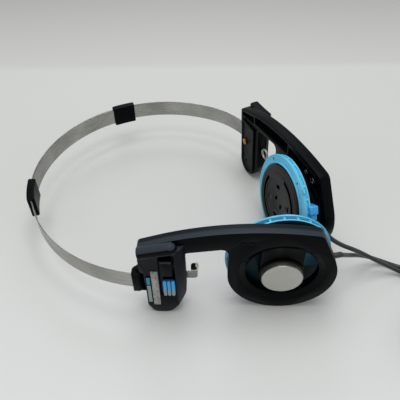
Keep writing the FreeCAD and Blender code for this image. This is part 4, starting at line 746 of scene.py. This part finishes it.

# The cups: painted shade in the deep groove between the flanges and on the backs, and a raised lip on
# the front
cup = {
    "grooveInner": 22.0,
    "grooveOuter": 23.1,
    "grooveLow": 5.0,
    "grooveHigh": 6.3,
    "backHeight": 4.6,
    "backReach": 21.0,
    "shadeLeft": -17.0,
    "shadeHigh": 9.0,
    "shadeSlope": 0.5,
    "lip": [
        (20.45, 7.3), (20.45, 7.95), (20.75, 8.1), (21.2, 8.1), (21.45, 7.9), (21.45, 7.3),
        (20.45, 7.3),
    ],
    "filling": [(22.5, 4.9), (23.9, 4.9), (23.9, 6.3), (22.5, 6.3), (22.5, 4.9)],
    "steps": 96,
    "edge": 0.08,
    # angle round the cup, then x from and to, z from and to, y and depth in that place
    "blocks": {
        "farCordBlock": (27.0, 15.0, 25.2, -4.3, 4.0, 1.2, 3.2, "glandAbs"),
        "farCordCatch": (31.0, 19.0, 25.8, -1.8, 2.6, 0.8, 4.4, "glandAbs"),
        "farFlangeTab": (54.0, 24.4, 26.2, -1.2, 1.2, 6.35, 1.0, "skyAbs"),
        # the notches are thin plates in the groove's deep teal: painted shade where the notches are
        "farFlangeNotchShadeLeft": (133.0, 22.3, 23.5, -0.5, 0.5, 7.4, 0.12, "grooveAbs"),
        "farFlangeNotchShadeRight": (66.0, 22.3, 23.5, -0.5, 0.5, 7.4, 0.12, "grooveAbs"),
    },
    "blockCorner": 0.16,
    "blockEdge": (0.35, 0.25),
}


def shadeCup(side):
    # 1 is the groove, and 2 is the back and the near cup's low left edge, in the arm's shade
    shell = mouldings[side, "cup_shell"]
    shell.data.materials.append(finishes["grooveAbs"])
    shell.data.materials.append(finishes["backAbs"])
    inverse = cupPlace(side).inverted()
    for face in shell.data.polygons:
        x, y, z = (inverse @ face.center) / mm
        out = (inverse.to_3x3() @ face.normal).y
        reach = math.hypot(x, z)
        lowLeft = side == "near" and x < cup["shadeLeft"] and z < cup["shadeHigh"]
        if cup["grooveInner"] < reach < cup["grooveOuter"] and cup["grooveLow"] < y < cup["grooveHigh"]:
            face.material_index = 1
        elif y < cup["backHeight"] and reach < cup["backReach"] or lowLeft and out < cup["shadeSlope"]:
            face.material_index = 2


def dressCup(side):
    lip = spun(cup["lip"], cup["steps"])
    softenEdges(lip, cup["edge"])
    settle(lip, side + "FlangeLip", cupPlace(side), side + "_cup", "skyAbs")


def dressFarCup():
    # this cup's groove is filled, and shows only as a shallow line
    filling = spun(cup["filling"], cup["steps"])
    softenEdges(filling, cup["edge"])
    settle(filling, "farGrooveFilling", cupPlace("far"), "far_cup", "skyAbs")
    most, share = cup["blockEdge"]
    for name, (angle, left, right, low, high, front, depth, finish) in cup["blocks"].items():
        corner = min(high - low, right - left) * cup["blockCorner"]
        piece = slab(left, right, low, high, front, depth, corner)
        softenEdges(piece, min(most, depth * share), 3)
        piece.data.transform(turned(-angle, "Y"))
        settle(piece, name, cupPlace("far"), "far_cup", finish)


for side in sides:
    shadeCup(side)
    dressCup(side)
dressFarCup()
paint(mouldings["near", "lead_gland"], "shadeAbs")
print("cups dressed")

# The driver's face: two long slots, and short ones nearer the middle
driver = {
    "profile": [
        (0, 7.65), (18.6, 7.65), (18.6, 6.15), (19.9, 6.15), (19.9, 8.65), (19.7, 8.95), (19.3, 9.15),
        (17.4, 9.15), (17.1, 8.95), (16.6, 8.95), (16.3, 9.15), (13.4, 9.15), (12.9, 8.75),
        (5.6, 8.75), (5.2, 8.6), (0, 8.6),
    ],
    # radius and width in mm, half the angle that a slot spans, and its middles' angles
    "longSlots": (14.9, 1.9, 57.0, (28.5, 208.5)),
    "shortSlots": (8.6, 2.0, 11.0, (113.0, 268.0)),
    "innerSlots": (10.4, 1.1, 8.0, (20.0, 200.0)),
    "holes": (2.9, 1.9, 27.0, (165.0, 345.0)),
    "rimReach": 16.45,
    "wallSlope": 0.5,
    "steps": 96,
    "edge": 0.1,
    "cutSpan": (7.0, 10.0),
    "cutStep": 2.5,
    "fewestSteps": 4,
}


def arcCutter(radius, width, halfAngle, middle):
    # a rectangle spun part of a turn, and closed at its ends
    inner, outer = radius - width / 2, radius + width / 2
    low, high = driver["cutSpan"]
    profile = [(inner, low), (outer, low), (outer, high), (inner, high), (inner, low)]
    steps = max(driver["fewestSteps"], int(halfAngle / driver["cutStep"]))
    cutter = spun(profile, steps, halfAngle * 2)
    closeEnds(cutter)
    cutter.data.transform(turned(halfAngle - middle, "Y"))
    return cutter


def cutWith(piece, cutter):
    only(piece)
    cut = piece.modifiers.new("slot", "BOOLEAN")
    cut.operation = "DIFFERENCE"
    cut.object = cutter
    cut.solver = "EXACT"
    bpy.ops.object.modifier_apply(modifier=cut.name)
    bpy.data.objects.remove(cutter)


def makeDriver(side):
    piece = spun(driver["profile"], driver["steps"])
    for group in ("longSlots", "shortSlots", "innerSlots", "holes"):
        radius, width, halfAngle, middles = driver[group]
        for middle in middles:
            cutWith(piece, arcCutter(radius, width, halfAngle, middle))
    softenEdges(piece, driver["edge"])
    # painted shade on the slots' walls, and a browner rim outside them
    indices = []
    for face in piece.data.polygons:
        reach = math.hypot(face.center.x, face.center.z) / mm
        inSlot = abs(face.normal.y) < driver["wallSlope"] and reach < driver["rimReach"]
        indices.append(1 if inSlot else 2 if reach > driver["rimReach"] else 0)
    settle(piece, side + "DriverFace", cupPlace(side), side + "_cup", "driverAbs",
           (side + "_driver_plate",))
    piece.data.materials.append(finishes["slotAbs"])
    piece.data.materials.append(finishes["driverRimAbs"])
    piece.data.polygons.foreach_set("material_index", indices)


for side in sides:
    makeDriver(side)
print("drivers made")

# Cross head screws in the bosses of each arm
screws = {
    # x and z in the arm's frame, and the head's radius
    "large": (9.0, 45.4, 1.75),
    "small": (3.2, 46.6, 1.15),
    "bossTop": 4.6,
    "sunk": 0.05,
    "head": 0.75,
    "sides": 16,
    "edge": 0.06,
    "flat": 0.9,
    # shares of the head's radius or height
    "slopeWidth": 0.22,
    "slopeDepth": 0.18,
    "ledge": 0.2,
    "crossReach": 0.45,
    "crossDepth": 0.55,
    "crossHalfAngle": 20,
}


def makeScrew(side, name):
    x, z, radius = screws[name]
    head, half = screws["head"], screws["crossHalfAngle"]
    bpy.ops.object.select_all(action="DESELECT")
    bpy.ops.mesh.primitive_cylinder_add(vertices=screws["sides"], radius=radius * mm, depth=head * mm)
    piece = bpy.context.object
    piece.data.transform(Matrix.Translation((0, head / 2 * mm, 0)) @ turned(-90, "X"))
    pickFaces(piece, lambda middle, normal: normal.y > screws["flat"])
    bpy.ops.mesh.inset(thickness=radius * screws["slopeWidth"] * mm,
                       depth=head * screws["slopeDepth"] * mm)
    bpy.ops.mesh.inset(thickness=radius * screws["ledge"] * mm, depth=0)
    bpy.ops.mesh.poke()
    bpy.ops.object.mode_set(mode="OBJECT")

    def inRecess(middle, normal):
        away = math.degrees(math.atan2(middle.z, middle.x)) % 90
        near = math.hypot(middle.x, middle.z) < radius * screws["crossReach"] * mm
        return normal.y > screws["flat"] and near and (away < half or away > 90 - half)

    pickFaces(piece, inRecess)
    down = (0, -head * screws["crossDepth"] * mm, 0)
    bpy.ops.mesh.extrude_region_move(TRANSFORM_OT_translate={"value": down})
    bpy.ops.object.mode_set(mode="OBJECT")
    softenEdges(piece, screws["edge"])
    foot = screws["bossTop"] - screws["sunk"]
    piece.data.transform(Matrix.Translation((x * mm, foot * mm, z * mm)))
    settle(piece, f"{side}{name.capitalize()}Screw", armPlace(side), side + "_arm",
           "screwSteel")


for side in sides:
    makeScrew(side, "large")
    makeScrew(side, "small")
print("screws made")

# The grip: three rounded ribs on a thin plate
grip = {
    "ribs": (-52.75, -50.9, -49.05),
    "width": 1.55,
    "low": 15.2,
    "high": 25.75,
    "front": {"near": -5.5, "far": -4.4},
    "depth": 1.6,
    "ribCorner": 0.72,
    "ribEdge": 0.55,
    # x from and to, z from and to, the depth under the ribs' front, and the thickness
    "plate": (-54.0, -48.1, 14.8, 25.9, 1.0, 1.05),
    "plateCorner": 1.2,
    "plateEdge": 0.25,
}


def makeGrip(side):
    left, right, low, high, sunk, depth = grip["plate"]
    front = grip["front"][side]
    piece = slab(left, right, low, high, front + sunk, depth, grip["plateCorner"])
    softenEdges(piece, grip["plateEdge"], 3)
    ribs = []
    for x in grip["ribs"]:
        rib = slab(x - grip["width"] / 2, x + grip["width"] / 2, grip["low"], grip["high"],
                   front, grip["depth"], grip["ribCorner"])
        softenEdges(rib, grip["ribEdge"], 4)
        ribs.append(rib)
    for index, rib in enumerate(ribs):
        settle(rib, f"{side}GripRib{index}", armPlace(side), side + "_slide", "gripAbs")
    settle(piece, side + "GripPlate", armPlace(side), side + "_slide", "gripBaseAbs",
           (side + "_grip",))


# The slider's raised tab, and the rounded lip on its upper end
slider = {
    # x from and to, z from and to, front, depth and corner, then the edge's radius
    "SliderTab": ((-54.3, -49.1, 29.0, 39.6, -4.55, 0.6, 0.6), 0.22, "glossAbs"),
    "SliderLip": ((-54.1, -49.3, 38.3, 39.5, -4.8, 0.5, 0.3), 0.2, "lipAbs"),
}


def makeSlider(side):
    for name, (box, edge, finish) in slider.items():
        piece = slab(*box)
        softenEdges(piece, edge, 3)
        settle(piece, side + name, armPlace(side), side + "_slide", finish)


for side in sides:
    makeGrip(side)
    makeSlider(side)
print("grips made")

# The latch's hook: a dark roller in a cream cap that wraps its ear side
hook = {
    "middle": (-39.9, 27.2),
    "core": [(0, 1.5), (1.15, 1.5), (1.35, 1.7), (1.35, 3.6), (1.15, 3.8), (0, 3.8)],
    "wrap": [(1.4, 1.6), (2.15, 1.6), (2.15, 3.7), (1.4, 3.7), (1.4, 1.6)],
    "wrapTurn": 190,
    "wrapStart": -130,
    "coreSteps": 40,
    "wrapSteps": 28,
    "coreEdge": 0.1,
    "wrapEdge": 0.2,
}


def makeHook():
    x, z = hook["middle"]
    middle = Matrix.Translation((x * mm, 0, z * mm))
    core = spun(hook["core"], hook["coreSteps"])
    softenEdges(core, hook["coreEdge"])
    core.data.transform(middle)
    settle(core, "latchRoller", armPlace("near"), "near_arm", "glossAbs",
           ("latch_hook_cap",))
    wrap = spun(hook["wrap"], hook["wrapSteps"], hook["wrapTurn"])
    closeEnds(wrap)
    softenEdges(wrap, hook["wrapEdge"], 3)
    wrap.data.transform(middle @ turned(-hook["wrapStart"], "Y"))
    settle(wrap, "latchWrap", armPlace("near"), "near_arm", "creamAbs")


makeHook()
print("hook made")

# The bare stripes on the lobe's side strip: a teal block above a pale one
stripes = {
    "left": -61.0,
    "right": -59.4,
    "pale": (8.6, 21.4),
    "teal": (22.2, 27.4),
    "front": -4.28,
    "depth": 0.1,
    "corner": 0.25,
    "edge": 0.03,
}
for side in sides:
    for name, finish in (("pale", "paleLabel"), ("teal", "tealLabel")):
        stripe = slab(stripes["left"], stripes["right"], *stripes[name], stripes["front"],
                      stripes["depth"], stripes["corner"])
        softenEdges(stripe, stripes["edge"])
        settle(stripe, f"{side}{name.capitalize()}Stripe", armPlace(side), side + "_arm",
               finish)
print("stripes made")

# The plug: a ribbed strain relief, a waisted grip and the jack with its insulating rings
plug = {
    "base": (157.6, -32.4, 3.45),
    "heading": (-0.264433, -0.964404, 0.0),
    "body": [
        (0, 0), (1.55, 0), (1.65, 0.3), (1.65, 1.3), (1.4, 1.45), (1.4, 1.95), (1.8, 2.1), (1.8, 3.1),
        (1.5, 3.25), (1.5, 3.75), (1.95, 3.9), (1.95, 4.9), (1.65, 5.05), (1.65, 5.55), (2.1, 5.7),
        (2.1, 6.9), (2.3, 7.3), (3.1, 8.3), (3.4, 9.0), (3.4, 10.2), (3.15, 10.5), (3.1, 12.5),
        (3.1, 17.2), (3.2, 19.4), (3.4, 20.0), (3.4, 21.4), (3.2, 21.8), (2.8, 22.0), (0, 22.0),
    ],
    "jack": [
        (0, 22.0), (1.75, 22.0), (1.75, 28.4), (1.75, 29.0), (1.75, 31.6), (1.75, 32.2), (1.2, 33.6),
        (1.6, 34.3), (1.5, 34.8), (0.4, 36.0), (0, 36.0),
    ],
    "rings": [(28.4, 29.0), (31.6, 32.2)],
    "steps": 48,
    "bodyEdge": 0.08,
    "jackEdge": 0.05,
}
along = Vector(plug["heading"])
upward = Vector((0, 0, 1))
plugTurn = Matrix((along.cross(upward), along, upward)).transposed().to_4x4()
plugPlace = Matrix.Translation(Vector(plug["base"]) * mm) @ plugTurn
plugBody = spun(plug["body"], plug["steps"])
softenEdges(plugBody, plug["bodyEdge"])
settle(plugBody, "plugMoulding", plugPlace, "headband", "jacket", ("plug_body",))
jack = spun(plug["jack"], plug["steps"])
softenEdges(jack, plug["jackEdge"])
for face in jack.data.polygons:
    # the two rings between the contacts
    face.material_index = int(any(low < face.center.y / mm < high for low, high in plug["rings"]))
settle(jack, "plugJackPin", plugPlace, "headband", "nickel", ("plug_jack",))
jack.data.materials.append(finishes["insulator"])
print("plug made")

# The table and the light. Lengths are in metres here, but for the mottle's size in mm.
studio = {
    "tableSize": 6,
    "tableHeight": -0.0002,
    "table": "#cfd0cd",
    "tableLitNear": "#dbdcdb",
    "nearReach": -0.12,
    "nearEnd": 0.03,
    "wall": "#c9c9c6",
    "wallShadedTop": "#acaca9",
    "mottleSize": 60,
    "mottleShare": 0.12,
    "seam": 0.174,
    "seamHalf": 0.004,
    "wallReach": 0.34,
    "seamWay": (-0.563, 0.826),
    "sky": 0.62,
    "skyTint": "#f1f2f2",
    "aim": (0.02, 0.0, 0.02),
    "overhead": 5.0,
    "overheadPlace": (-0.02, 0.02, 1.0),
    "overheadSize": (0.7, 0.7),
    "rim": 2.6,
    "rimPlace": (-0.75, 1.1, 1.15),
    "rimSize": (0.7, 0.5),
    "rimTint": "#eef3ff",
}


def makeTable():
    # pale laminate: satin, so that its shadows stay soft, with a faint mottle
    bpy.ops.mesh.primitive_plane_add(size=studio["tableSize"], location=(0, 0, studio["tableHeight"]))
    table = bpy.context.object
    table.name = "tableTop"
    material, tree, shader, place = newMaterial("paleLaminateTable", {
        "Roughness": 0.5, "Specular IOR Level": 0.3,
    })
    mottle = addNode(tree, "TexNoise", {"Scale": perMetre(studio["mottleSize"]), "Detail": 5.0},
                     {"Vector": place})
    across = addNode(tree, "VectorMath", {"operation": "DOT_PRODUCT", 1: (*studio["seamWay"], 0)},
                     {0: place})

    def rise(start, end):
        # 0 to 1 along a stretch of the way to the seam
        return addNode(tree, "MapRange", {"From Min": start, "From Max": end},
                       {"Value": across.outputs["Value"]})

    def tones(first, second, share):
        return addNode(tree, "Mix", {
            "data_type": "RGBA", 6: colour(studio[first]), 7: colour(studio[second]),
        }, {0: share})

    # painted light: the table is brighter towards the camera
    fall = rise(studio["nearReach"], studio["nearEnd"])
    speck = addNode(tree, "MapRange", {
        "To Min": -studio["mottleShare"], "To Max": studio["mottleShare"],
    }, {"Value": mottle.outputs["Fac"]})
    depth = addNode(tree, "Math", {"operation": "ADD", "use_clamp": True},
                    {0: fall.outputs["Result"], 1: speck.outputs["Result"]})
    plain = tones("tableLitNear", "table", depth.outputs["Value"])
    # past the seam the sweep goes on as a darker backdrop, with painted shade darkening it towards the
    # top
    height = rise(studio["seam"], studio["wallReach"])
    wall = tones("wall", "wallShadedTop", height.outputs["Result"])
    edge = rise(studio["seam"] - studio["seamHalf"], studio["seam"] + studio["seamHalf"])
    mixed = addNode(tree, "Mix", {"data_type": "RGBA"},
                    {0: edge.outputs["Result"], 6: plain.outputs[2], 7: wall.outputs[2]})
    tree.links.new(mixed.outputs[2], shader.inputs["Base Color"])
    table.data.materials.append(material)


def makeLight(name, place, size, power, tint="#ffffff"):
    light = bpy.data.lights.new(name, "AREA")
    light.shape = "RECTANGLE"
    light.size, light.size_y = size
    light.energy = power
    light.color = colour(tint)[:3]
    lamp = bpy.data.objects.new(name, light)
    bpy.context.scene.collection.objects.link(lamp)
    away = (Vector(place) - Vector(studio["aim"])).normalized()
    lamp.rotation_mode = "QUATERNION"
    lamp.rotation_quaternion = away.to_track_quat("Z", "Y")
    lamp.location = place


makeTable()
makeLight("softboxAbove", studio["overheadPlace"], studio["overheadSize"], studio["overhead"])
makeLight("softboxBehind", studio["rimPlace"], studio["rimSize"], studio["rim"], studio["rimTint"])
world = bpy.data.worlds.new("paleRoom")
bpy.context.scene.world = world
world.use_nodes = True
world.node_tree.nodes["Background"].inputs["Color"].default_value = colour(studio["skyTint"])
world.node_tree.nodes["Background"].inputs["Strength"].default_value = studio["sky"]
bpy.context.scene.view_settings.view_transform = "Standard"
print("table and light set")
